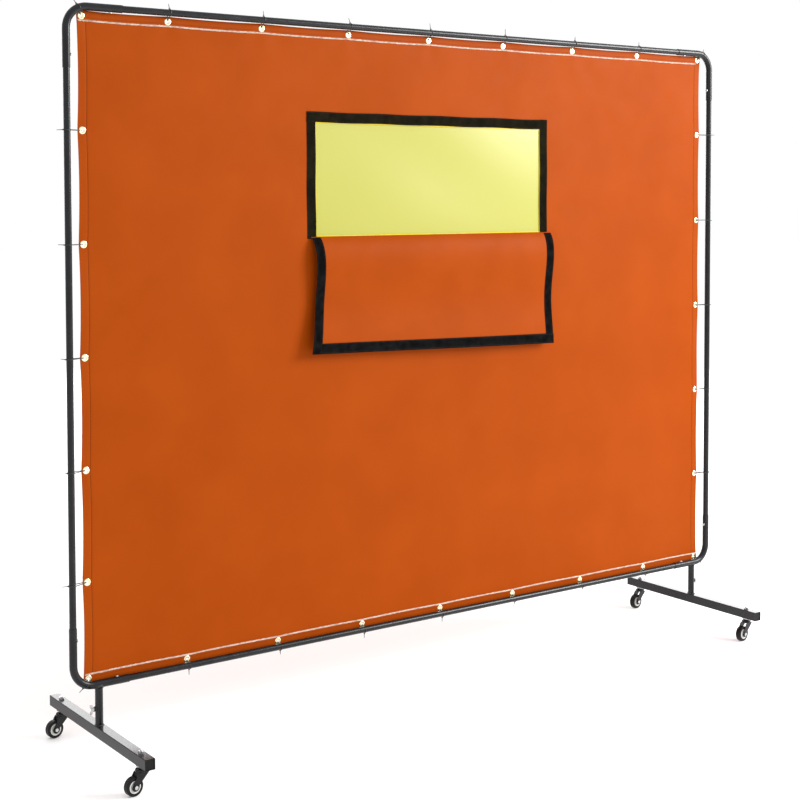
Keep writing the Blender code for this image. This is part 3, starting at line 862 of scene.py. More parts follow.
@dataclass
class FootBar:
    """One square foot bar with its spigot, end plugs and wing bolt."""

    side_name: str
    corner_radius: float = 0.0020
    wall: float = 0.0015
    weld_radius: float = 0.0118
    weld: float = 0.0016
    weld_lift: float = 0.0006
    plug_rim: float = 0.0026
    plug_dish: tuple[float, float] = (0.0003, -0.0006)
    plug_wall: float = 0.0022
    plug_depth: float = 0.0085
    plug_corner: float = 0.0012
    plug_edge: float = 0.0006
    shank: float = 0.003
    shank_share: float = 0.62
    shank_waist: float = 0.0011
    collar: float = 0.006
    collar_taper: float = 0.68
    collar_shares: tuple[float, float] = (0.33, 0.72)
    wing_thickness: float = 0.0022
    wing_root: float = 0.0035
    wing_reach: float = 0.0145
    wing_slope: float = 0.0035
    wing_round: float = 0.0024
    tube: float = 0.0095

    @property
    def side(self) -> int:
        """-1 on the left and 1 on the right."""
        return SIDES[self.side_name]

    def build(self) -> None:
        """Builds the bar and what is fixed to it."""
        low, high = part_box(self.side_name + "_foot_bar")
        square = high.x - low.x
        top = low.z + square
        bar = add_box("bar", low, (high.x, high.y, top))
        round_edges(bar, lambda middle, along: abs(along.y) > 0.9, self.corner_radius, 4)
        with editing(bar, Kind.FACE):
            choose(bar, Kind.FACE, lambda middle, normal: abs(normal.y) > 0.9)
            bpy.ops.mesh.delete(type="FACE")
        modify(bar, "SOLIDIFY", thickness=self.wall, offset=-1)
        middle = (low + high) / 2
        foot = (middle.x, 0, top - self.wall / 2)
        tip = (middle.x, 0, high.z)
        spigot = add_cylinder("spigot", self.tube, foot, tip, 32, capped=False)
        wall_in(spigot, self.wall)
        bar = join(self.side_name + "_square_foot_tube", [bar, spigot])
        dress(bar, BAR_COAT, [self.side_name + "_foot_bar"], smooth=30)
        seat = (middle.x, 0, top + self.weld_lift)
        weld = add_ring("ring", seat, (0, 0, 1), self.weld_radius, self.weld, 48)
        weld.name = self.side_name + "_spigot_weld"
        dress(weld, WELD_STEEL, smooth=70)
        for end_name, end in ENDS.items():
            self.build_plug(end_name, end)
        self.build_wing_bolt()

    def build_plug(self, end_name: str, end: int) -> None:
        """Builds a moulded plug with a shallow dished face.

        Args:
            end_name: The end's name.
            end: -1 at the front and 1 at the rear.
        """
        node = f"{self.side_name}_{end_name}_end_plug"
        low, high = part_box(node)
        face_y = low.y if end < 0 else high.y
        centre, half = (low + high) / 2, (high.x - low.x) / 2 - self.plug_edge
        plug = add_box(node + "_moulding", low, high)
        outer = lambda middle, normal: normal.y * end > 0.99 and abs(middle.y - face_y) < TOUCH
        recess(plug, outer, [(self.plug_rim, 0.0), self.plug_dish])
        inner = lambda middle, normal: normal.y * end < -0.99 and abs(middle.y - face_y) > 0.005
        recess(plug, inner, [(self.plug_wall, 0.0), (0.0, -self.plug_depth)])
        rim = lambda middle: max(abs(middle.x - centre.x), abs(middle.z - centre.z)) > half
        corner = lambda middle, along: abs(along.y) > 0.9 and rim(middle)
        round_edges(plug, corner, self.plug_corner, 3)
        front = lambda middle, along: abs(middle.y - face_y) < TOUCH and rim(middle)
        round_edges(plug, front, self.plug_edge, 2)
        dress(plug, PLUG_PLASTIC, [node], smooth=30)

    def build_wing_bolt(self) -> None:
        """Builds the wing bolt: shank, collar and two rounded wings that stand upright."""
        node = self.side_name + "_wing_bolt"
        low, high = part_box(node)
        middle = (low + high) / 2
        tip = abs(low.x if self.side > 0 else high.x)
        crest = abs(high.x if self.side > 0 else low.x)
        length = crest - tip
        shank = add_cylinder("shank", self.shank, (0, 0, 0), (0, 0, length * self.shank_share), 24)
        with editing(shank, Kind.FACE):
            choose(shank, Kind.FACE, lambda centre, normal: abs(normal.z) < 0.5)
            bpy.ops.mesh.subdivide(number_cuts=1)
        for vert in shank.data.vertices:
            if 0.001 < vert.co.z < 0.6 * length:
                vert.co.xy *= 1 - self.shank_waist
        collar_z, top_z = (length * share for share in self.collar_shares)
        collar = add_cylinder("collar", self.collar, (0, 0, collar_z), (0, 0, top_z), 32)
        with editing(collar, Kind.FACE):
            choose(collar, Kind.FACE, lambda centre, normal: normal.z > 0.9)
            taper = (self.collar_taper, self.collar_taper, 1)
            bpy.ops.transform.resize(value=taper, center_override=(0, 0, top_z))
        round_edges(collar, lambda centre, along: centre.z > top_z - TOUCH, 0.0012, 3)
        wings = [self.model_wing(turn, collar_z + 0.001, length) for turn in (1, -1)]
        bolt = join(node + "_cast", [shank, collar, *wings])
        outward = facing((self.side * tip, 0, middle.z), (self.side, 0, 0))
        upright = outward @ Matrix.Rotation(math.pi / 2, 4, "Z")
        bolt.data.transform(upright)
        dress(bolt, ZINC, [node], body=self.side_name + "_clamp")

    def model_wing(self, turn: int, low_z: float, high_z: float) -> bpy.types.Object:
        """Models one wing of the bolt, leaning outwards along X.

        Args:
            turn: 1 or -1, the wing's direction.
            low_z: The height of its root.
            high_z: The height of its crest.

        Returns:
            The wing.
        """
        half = self.wing_thickness / 2
        near, far = self.wing_root, self.wing_reach
        low_x, high_x = sorted((turn * near, turn * far))
        wing = add_box("wing", (low_x, -half, low_z), (high_x, half, high_z - 0.001))
        with editing(wing, Kind.VERT):
            choose(wing, Kind.VERT, lambda point, normal: abs(point.x) > far - TOUCH)
            bpy.ops.transform.translate(value=(0, 0, 0.001))
            heel = lambda point, normal: abs(point.x) > far - TOUCH and point.z < low_z + 0.002
            choose(wing, Kind.VERT, heel)
            bpy.ops.transform.translate(value=(0, 0, self.wing_slope))
        round_edges(wing, lambda middle, along: abs(along.y) > 0.9, self.wing_round, 5)
        round_edges(wing, lambda middle, along: abs(middle.y) > half - TOUCH, 0.0005, 2)
        return wing


# Casters


@dataclass
class Caster:
    """One swivel caster, modelled on its swivel axis with the wheel trailing towards +X."""

    wheel_radius: float = 0.0254
    wheel_width: float = 0.018
    rim_radius: float = 0.0168
    trail: float = field(
        default_factory=lambda: (
            centre_of("left_front_caster_tyre") - centre_of("left_front_caster_stem")
        ).xy.length
    )
    crown_middle: float = -0.001
    crown_half: float = 0.019
    crown_low: float = 0.0602
    crown_top: float = 0.0679
    plate: float = 0.0022
    cheek_inner: float = 0.0105
    lobe: float = 0.0108
    lobe_rim: float = 0.0078
    stem: float = 0.004
    thread: float = 0.0003
    thread_pitch: float = 0.0011
    threads: int = 4
    flange_top: float = 0.0762
    flange: float = 0.0145
    flange_height: float = 0.003
    race: float = 0.0125
    rivet: float = 0.0075
    play: float = 0.0003
    axle: float = 0.003
    axle_flats: float = 0.010
    shoulder: float = 0.0028
    rim_lip: float = 0.0024
    rim_slope: float = 0.0012
    hub: float = 0.0064

    def build_all(self) -> None:
        """Models a caster once and copies it to the four ends of the foot bars."""
        models = {
            "stem": self.model_stem(),
            "stem_nut": self.model_stem_nut(),
            "fork": self.model_fork(),
            "axle_bolt": self.model_axle_bolt(),
            "axle_nut": self.model_axle_nut(),
            "tyre": self.model_tyre(),
            "rim": self.model_rim(),
        }
        for side_name in SIDES:
            for end_name in ENDS:
                self.place(f"{side_name}_{end_name}_caster", models)
        discard(list(models.values()))

    def place(self, name: str, models: dict[str, bpy.types.Object]) -> None:
        """Copies the models to one caster.

        Args:
            name: The caster's name.
            models: The model of each part.
        """
        stem = centre_of(name + "_stem")
        wheel = centre_of(name + "_tyre")
        heading = math.atan2(wheel.y - stem.y, wheel.x - stem.x)
        stand = Matrix.Translation((stem.x, stem.y, 0))
        swivel = stand @ Matrix.Rotation(heading, 4, "Z")
        looks = {
            "stem": (stand, ZINC, "screen", "stem_and_race"),
            "stem_nut": (stand, ZINC, "screen", "stem_hex_nut"),
            "fork": (swivel, FORK_BLACK, name + "_swivel", "pressed_fork"),
            "axle_bolt": (swivel, ZINC, name + "_swivel", "axle_hex_bolt"),
            "axle_nut": (swivel, ZINC, name + "_swivel", "axle_hex_nut"),
            "tyre": (swivel, TYRE_RUBBER, name + "_wheel", "wheel_tread"),
            "rim": (swivel, RIM_PLASTIC, name + "_wheel", "wheel_centre"),
        }
        for part, (matrix, finish, body, label) in looks.items():
            piece = copy_to(models[part], f"{name}_{label}", matrix)
            dress(piece, finish, [f"{name}_{part}"], body=body)

    def model_stem(self) -> bpy.types.Object:
        """Models the stem: threaded bolt, flange, ball race and lower rivet.

        Returns:
            The stem.
        """
        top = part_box("left_front_caster_stem")[1].z
        race_low = self.crown_top + self.play
        flange_low = self.flange_top - self.flange_height
        bolt = add_cylinder("bolt", self.stem, (0, 0, self.crown_low + 0.004), (0, 0, top), 28)
        round_edges(bolt, lambda middle, along: middle.z > top - TOUCH, 0.0009, 2)
        ends = ((0, 0, flange_low), (0, 0, self.flange_top))
        flange = add_cylinder("flange", self.flange, *ends, 40)
        round_edges(flange, lambda middle, along: middle.z < flange_low + TOUCH, 0.0010, 3)
        race = add_cylinder("race", self.race, (0, 0, race_low), (0, 0, flange_low), 40)
        with editing(race, Kind.FACE):
            choose(race, Kind.FACE, lambda middle, normal: normal.z < -0.9)
            bpy.ops.transform.resize(value=(0.8, 0.8, 1), center_override=(0, 0, race_low))
        round_edges(race, lambda middle, along: middle.z < race_low + TOUCH, 0.0014, 3)
        rivet_high = self.crown_top - self.plate - self.play
        ends = ((0, 0, rivet_high - 0.003), (0, 0, rivet_high))
        rivet = add_cylinder("rivet", self.rivet, *ends, 32)
        round_edges(rivet, lambda middle, along: middle.z < rivet_high - 0.0029, 0.0018, 3)
        threads = []
        for turn in range(self.threads):
            place = (0, 0, top - 0.0014 - self.thread_pitch * turn)
            threads.append(add_ring("thread", place, (0, 0, 1), self.stem, self.thread, 28))
        return join("stem_model", [bolt, flange, race, rivet, *threads])

    def model_hex(self, flats: float, low: float, high: float) -> bpy.types.Object:
        """Models a chamfered hexagon that stands along Z.

        Args:
            flats: Its width across the flats.
            low: The height of its underside.
            high: The height of its top.

        Returns:
            The hexagon.
        """
        hexagon = add_cylinder("hex", flats / math.sqrt(3), (0, 0, low), (0, 0, high), 6)
        round_edges(hexagon, lambda middle, along: abs(along.z) < 0.1, 0.0007, 2)
        return hexagon

    def model_stem_nut(self) -> bpy.types.Object:
        """Models the nut on the foot bar, with a pressed washer face."""
        low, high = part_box("left_front_caster_stem_nut")
        nut = self.model_hex(0.013, low.z + 0.0008, high.z)
        washer = add_cylinder("washer", 0.0078, (0, 0, low.z), (0, 0, low.z + 0.0010), 36)
        return join("stem_nut_model", [nut, washer])

    def model_cheek(self, turn: int) -> bpy.types.Object:
        """Models one cheek: a lobe at the axle, drawn up and back into the crown.

        Args:
            turn: -1 for the cheek at -Y and 1 for the other.

        Returns:
            The cheek.
        """
        inner = turn * self.cheek_inner
        outer = turn * (self.cheek_inner + self.plate)
        low, high = sorted((inner, outer))
        at_axle = (self.trail, self.wheel_radius)
        cheek = add_cylinder(
            "cheek", self.lobe, (at_axle[0], low, at_axle[1]), (at_axle[0], high, at_axle[1]), 48
        )
        drop = self.crown_low + 0.001 - at_axle[1]
        with editing(cheek, Kind.VERT):
            choose(cheek, Kind.VERT, lambda point, normal: point.z > at_axle[1] + 0.003)
            bpy.ops.transform.translate(value=(self.crown_middle - self.trail, 0, drop - 0.004))
            top = (self.crown_middle, (low + high) / 2, self.crown_low - 0.003)
            wider = (self.crown_half - 0.001) / self.lobe
            bpy.ops.transform.resize(value=(wider, 1, 0.45), center_override=top)
        round_edges(cheek, lambda middle, along: abs(along.y) < 0.1, 0.0006, 2)
        return cheek

    def model_fork(self) -> bpy.types.Object:
        """Models the pressed fork: a cupped crown, two cheeks and raised axle lobes.

        Returns:
            The fork.
        """
        outer = self.cheek_inner + self.plate
        ends = ((0, 0, self.crown_low), (0, 0, self.crown_top))
        crown = add_cylinder("crown", self.crown_half, *ends, 48)
        with editing(crown, Kind.VERT):
            bpy.ops.mesh.select_all(action="SELECT")
            narrow = (1, (outer + 0.0008) / self.crown_half, 1)
            bpy.ops.transform.resize(value=narrow, center_override=(0, 0, 0))
            bpy.ops.transform.translate(value=(self.crown_middle, 0, 0))
        deep = self.crown_low + self.plate - self.crown_top
        under = lambda middle, normal: normal.z < -0.9
        recess(crown, under, [(self.plate * 0.8, 0.0), (0.0, deep)])
        top = lambda middle, along: middle.z > self.crown_top - TOUCH and abs(along.z) < 0.1
        round_edges(crown, top, self.plate, 4)
        pieces = [crown, self.model_cheek(-1), self.model_cheek(1)]
        for turn in (-1, 1):
            face = (self.trail, turn * outer, self.wheel_radius)
            pieces.append(add_ring("lobe_rim", face, (0, 1, 0), self.lobe_rim, 0.0006, 36))
        return join("fork_model", pieces)

    def model_axle_bolt(self) -> bpy.types.Object:
        """Models the axle bolt: a shank across the fork and a chamfered head.

        Returns:
            The bolt.
        """
        seat = self.cheek_inner + self.plate + self.play
        shank = add_cylinder("shank", self.axle, (0, 0, -seat - 0.0065), (0, 0, seat), 24)
        round_edges(shank, lambda middle, along: middle.z < -seat - 0.0064, 0.0006, 2)
        head = self.model_hex(self.axle_flats, seat, seat + 0.0035)
        bolt = join("axle_bolt_model", [shank, head])
        bolt.data.transform(facing((self.trail, 0, self.wheel_radius), (0, 1, 0)))
        return bolt

    def model_axle_nut(self) -> bpy.types.Object:
        """Models the axle nut on its washer face."""
        seat = self.cheek_inner + self.plate + self.play
        nut = self.model_hex(self.axle_flats, seat + 0.0006, seat + 0.005)
        washer = add_cylinder("washer", 0.0062, (0, 0, seat), (0, 0, seat + 0.0008), 32)
        nut = join("axle_nut_model", [nut, washer])
        nut.data.transform(facing((self.trail, 0, self.wheel_radius), (0, -1, 0)))
        return nut

    def model_tyre(self) -> bpy.types.Object:
        """Models the tyre: rounded shoulders, two tread grooves and an open middle.

        Returns:
            The tyre.
        """
        half = self.wheel_width / 2
        tyre = add_cylinder("tyre", self.wheel_radius, (0, 0, -half), (0, 0, half), 72)
        round_edges(tyre, lambda middle, along: abs(middle.z) > half - TOUCH, self.shoulder, 6)
        crown = lambda middle, normal: abs(normal.z) < 0.02 and abs(middle.z) < 1e-4
        recess(tyre, crown, [(0.0026, 0.0), (0.0004, -0.0005)])
        width = self.wheel_radius - self.shoulder - self.rim_radius - self.play
        flank = lambda middle, normal: abs(normal.z) > 0.99 and abs(middle.z) > half - TOUCH
        recess(tyre, flank, [(0.0012, 0.0), (0.0004, -0.0004), (width - 0.0016, 0.0)])
        inside = lambda middle, normal: abs(normal.z) > 0.99 and middle.xy.length < 1e-4
        with editing(tyre, Kind.FACE):
            choose(tyre, Kind.FACE, inside)
            bpy.ops.mesh.delete(type="FACE")
        with editing(tyre, Kind.EDGE):
            bore = self.rim_radius + 0.0012
            choose(tyre, Kind.EDGE, lambda middle, along: middle.xy.length < bore)
            bpy.ops.mesh.bridge_edge_loops()
        face_outwards(tyre)
        tyre.data.transform(facing((self.trail, 0, self.wheel_radius), (0, 1, 0)))
        tyre.name = "tyre_model"
        return tyre

    def model_rim(self) -> bpy.types.Object:
        """Models the wheel centre: an outer lip, a dished web with pockets and a hub.

        Returns:
            The wheel centre.
        """
        half = self.wheel_width / 2
        rim = add_cylinder("rim", self.rim_radius, (0, 0, -half), (0, 0, half), 60)
        flank = lambda middle, normal: abs(normal.z) > 0.99 and abs(middle.z) > half - TOUCH
        lip, slope = self.rim_lip, self.rim_slope
        to_hub = self.rim_radius - lip - slope - self.hub
        recess(rim, flank, [(lip, 0.0), (slope, -0.0048), (to_hub, 0.0), (0.0002, 0.0058)])
        lips = lambda middle, along: abs(abs(middle.z) - half) < TOUCH and abs(along.z) < 0.1
        round_edges(rim, lips, 0.0005, 2)
        rim.data.transform(facing((self.trail, 0, self.wheel_radius), (0, 1, 0)))
        rim.name = "rim_model"
        return rim


# Curtain, hems and seams


@dataclass
class Drape:
    """The hung curtain's front face: bowed in between ties, with soft swells and tie creases."""

    low: Vector
    high: Vector
    inset: float = 0.0135
    pitch: float = 0.307
    front_step: float = 0.0011
    bow: dict[str, float] = field(
        default_factory=lambda: {"top": 0.0026, "bottom": 0.002, "left": 0.0038, "right": 0.0038}
    )
    bow_reach: float = 0.075
    calm: float = 0.25
    swell: float = 0.0022
    crease: float = 0.0011
    crease_share: dict[str, float] = field(
        default_factory=lambda: {"top": 1.0, "bottom": 0.7, "left": 0.6, "right": 0.6}
    )
    crease_reach: float = 0.075
    crease_start: float = 0.03
    crease_root: float = 0.02
    crease_count: int = 5
    seam_inset: float = 0.026
    seam_depth: float = 0.0007
    seam_width: float = 0.0016
    eyelet: float = 0.0052
    ties: dict[str, list[float]] = field(init=False)

    def __post_init__(self) -> None:
        """Steps the ties round the edges, starting each edge at the corner before it."""
        left, right = self.low.x + self.inset, self.high.x - self.inset
        bottom, top = self.low.z + self.inset, self.high.z - self.inset
        self.ties = {
            "top": sorted(self.steps(right, left)),
            "left": sorted(self.steps(top, bottom)),
            "bottom": sorted(self.steps(left, right)),
            "right": sorted(self.steps(bottom, top)),
        }

    def steps(self, start: float, end: float) -> list[float]:
        """Returns places from start to end a pitch apart, the last gap being what is left."""
        count = int(abs(end - start) / self.pitch)
        if abs(end - start) - count * self.pitch < self.pitch / 3:
            count -= 1
        sign = 1 if end > start else -1
        return [start + sign * self.pitch * step for step in range(count + 1)] + [end]

    @property
    def front(self) -> float:
        """The front face's Y where nothing bends it."""
        return self.low.y + self.front_step

    @property
    def hole_insets(self) -> tuple[float, float]:
        """How far an eyelet's two borders lie from the curtain's edge."""
        return self.inset - self.eyelet, self.inset + self.eyelet

    @property
    def eyelets(self) -> np.ndarray:
        """The flat X and Z of every eyelet."""
        top = self.high.z - self.inset
        bottom = self.low.z + self.inset
        spots = [(x, top) for x in self.ties["top"]] + [(x, bottom) for x in self.ties["bottom"]]
        spots += [(self.low.x + self.inset, z) for z in self.ties["left"][1:-1]]
        spots += [(self.high.x - self.inset, z) for z in self.ties["right"][1:-1]]
        return np.array(spots)

    def around(self, axis: int) -> list[float]:
        """Returns the eyelets' borders along X (0) or Z (1), where a grid needs a line."""
        places = np.unique(self.eyelets[:, axis])
        return [*(places - self.eyelet), *(places + self.eyelet)]

    def punched(self, xs: np.ndarray, zs: np.ndarray) -> np.ndarray:
        """Marks the cells of a grid that lie inside an eyelet.

        Args:
            xs: The grid's columns.
            zs: The grid's rows.

        Returns:
            True for each cell to leave out, rows first.
        """
        middle_x = (xs[:-1] + xs[1:]) / 2
        middle_z = (zs[:-1] + zs[1:]) / 2
        holes = np.zeros((len(middle_z), len(middle_x)), bool)
        for x, z in self.eyelets:
            across = np.abs(middle_x - x) < self.eyelet
            upwards = np.abs(middle_z - z) < self.eyelet
            holes |= upwards[:, None] & across[None, :]
        return holes

    def between(self, along: np.ndarray, ties: Sequence[float]) -> np.ndarray:
        """Returns 0 at the ties and 1 half-way between them."""
        places = np.array(ties)
        index = np.clip(np.searchsorted(places, along) - 1, 0, len(places) - 2)
        share = (along - places[index]) / (places[index + 1] - places[index])
        share = np.clip(share, 0, 1)
        return 4 * share * (1 - share)

    def place(self, x: np.ndarray, z: np.ndarray, lift: float | np.ndarray = 0.0) -> np.ndarray:
        """Puts points of the flat cloth where they hang.

        Args:
            x: Their places across the flat cloth.
            z: Their heights on the flat cloth.
            lift: How far they stand in front of the cloth's face.

        Returns:
            Their points, with three numbers last.
        """
        x, z = np.broadcast_arrays(np.asarray(x, float), np.asarray(z, float))
        off_edge = {
            "top": self.high.z - z,
            "bottom": z - self.low.z,
            "left": x - self.low.x,
            "right": self.high.x - x,
        }
        nearest = np.minimum.reduce(list(off_edge.values()))
        inside = np.clip(nearest / self.calm, 0, 1) ** 1.5
        y = self.front + inside * self.swells(x, z)
        pull = {}
        for edge, distance in off_edge.items():
            along = x if edge in ("top", "bottom") else z
            ties = self.ties[edge]
            fade = np.exp(-distance / self.bow_reach)
            pull[edge] = self.bow[edge] * fade * self.between(along, ties)
            y = y + self.crease_share[edge] * self.creases(along, distance, ties)
        for edge in ("left", "right"):
            groove = np.exp(-(((off_edge[edge] - self.seam_inset) / self.seam_width) ** 2))
            y = y + self.seam_depth * groove
        x = x + pull["left"] - pull["right"]
        z = z - pull["top"] + pull["bottom"]
        return np.stack([x, y - lift, z], axis=-1)

    def swells(self, x: np.ndarray, z: np.ndarray) -> np.ndarray:
        """Returns the long, low swells of the hanging cloth."""
        broad = np.sin(2 * math.pi * (x / 1.37 + 0.16)) * np.sin(2 * math.pi * (z / 1.9 - 0.1))
        slanted = np.sin(2 * math.pi * (x * 0.83 + z * 0.55) / 0.71 + 1.1)
        crossing = np.sin(2 * math.pi * (x * 0.38 - z * 0.92) / 0.53 + 2.4)
        return self.swell * (1.1 * broad + 0.35 * slanted + 0.25 * crossing + 0.8)

    def creases(
        self, along: np.ndarray, off_edge: np.ndarray, ties: Sequence[float]
    ) -> np.ndarray:
        """Returns the small creases that fan out from the ties of one edge.

        Args:
            along: Places along the edge.
            off_edge: Distances from the edge.
            ties: Where the edge is tied.

        Returns:
            How far each point goes back.
        """
        total = np.zeros_like(along)
        depth = off_edge - self.inset
        for index, tie in enumerate(ties):
            offset = along - tie
            reach = np.hypot(offset, depth)
            angle = np.arctan2(offset, depth + self.crease_root)
            near = np.exp(-reach / self.crease_reach) * np.clip(reach / self.crease_start, 0, 1)
            total += self.crease * near * np.sin(self.crease_count * angle + 1.7 * index)
        return total


def mesh_piece(name: str, points: np.ndarray, faces: Sequence[Sequence[int]]) -> bpy.types.Object:
    """Makes a piece from points and faces.

    Args:
        name: The piece's name.
        points: Its points, with three numbers each.
        faces: The points of each face.

    Returns:
        The piece.
    """
    mesh = bpy.data.meshes.new(name)
    mesh.from_pydata(points.tolist(), [], faces)
    mesh.validate()
    piece = bpy.data.objects.new(name, mesh)
    bpy.context.scene.collection.objects.link(piece)
    return piece


def grid_piece(
    name: str,
    points: np.ndarray,
    thickness: float,
    missing: np.ndarray | None = None,
) -> bpy.types.Object:
    """Makes a thin sheet from a grid of points on its front face.

    Args:
        name: The piece's name.
        points: The grid: rows upwards, columns towards +X, and three numbers each.
        thickness: The sheet's thickness, behind the grid.
        missing: Marks the cells to leave out.

    Returns:
        The sheet, closed all round.
    """
    rows, columns = points.shape[:2]
    index = np.arange(rows * columns).reshape(rows, columns)
    corners = (index[:-1, :-1], index[:-1, 1:], index[1:, 1:], index[1:, :-1])
    cells = np.stack(corners, axis=-1)
    cells = cells.reshape(-1, 4) if missing is None else cells[~missing]
    used, faces = np.unique(cells, return_inverse=True)
    piece = mesh_piece(name, points.reshape(-1, 3)[used], faces.reshape(-1, 4).tolist())
    modify(piece, "SOLIDIFY", thickness=thickness, offset=-1, use_even_offset=False)
    return piece


def spaced(start: float, end: float, step: float, extra: Sequence[float] = ()) -> np.ndarray:
    """Returns places from start to end about a step apart, with some extra ones."""
    count = max(1, round((end - start) / step))
    places = np.linspace(start, end, count + 1)
    wanted = np.array([place for place in extra if start < place < end])
    if len(wanted):
        keep = np.min(np.abs(places[:, None] - wanted[None, :]), axis=1) > 0.35 * step
        keep[0] = keep[-1] = True
        places = np.concatenate([places[keep], wanted])
    return np.unique(np.round(places, 7))


def spikes_piece(name: str, starts: np.ndarray, ends: np.ndarray, width: float) -> bpy.types.Object:
    """Makes many small stitches or fibres, thickest in their middles, as one piece.

    Args:
        name: The piece's name.
        starts: Where each one starts.
        ends: Where each one ends.
        width: Its half width.

    Returns:
        The piece.
    """
    unit = lambda rows: rows / np.maximum(np.linalg.norm(rows, axis=1, keepdims=True), 1e-9)
    along = unit(ends - starts)
    side = unit(np.cross(along, [0.0, 1.0, 0.0]))
    other = np.cross(side, along)
    belly = (starts + ends) / 2
    ring = [belly + width * (side * a + other * b) for a, b in ((1, 0), (0, 1), (-1, 0), (0, -1))]
    points = np.stack([starts, ends, *ring], axis=1).reshape(-1, 3)
    faces = []
    for item in range(len(starts)):
        base = 6 * item
        for step in range(4):
            first = base + 2 + step
            second = base + 2 + (step + 1) % 4
            faces.append((base, second, first))
            faces.append((base + 1, first, second))
    piece = mesh_piece(name, points, faces)
    face_outwards(piece)
    return piece


def stitches(
    name: str,
    surface: Callable[[np.ndarray], np.ndarray],
    length: float,
    pitch: float,
    width: float = 0.00055,
) -> bpy.types.Object:
    """Makes a row of stitches along a line on a surface.

    Args:
        name: The piece's name.
        surface: Gives the point at each distance along the line.
        length: The line's length.
        pitch: The distance from stitch to stitch.
        width: A stitch's half width.

    Returns:
        The stitches.
    """
    count = int(length / pitch)
    middles = (np.arange(count) + 0.5) * length / count
    starts = surface(middles - 0.44 * pitch)
    ends = surface(middles + 0.44 * pitch)
    return spikes_piece(name, starts, ends, width)


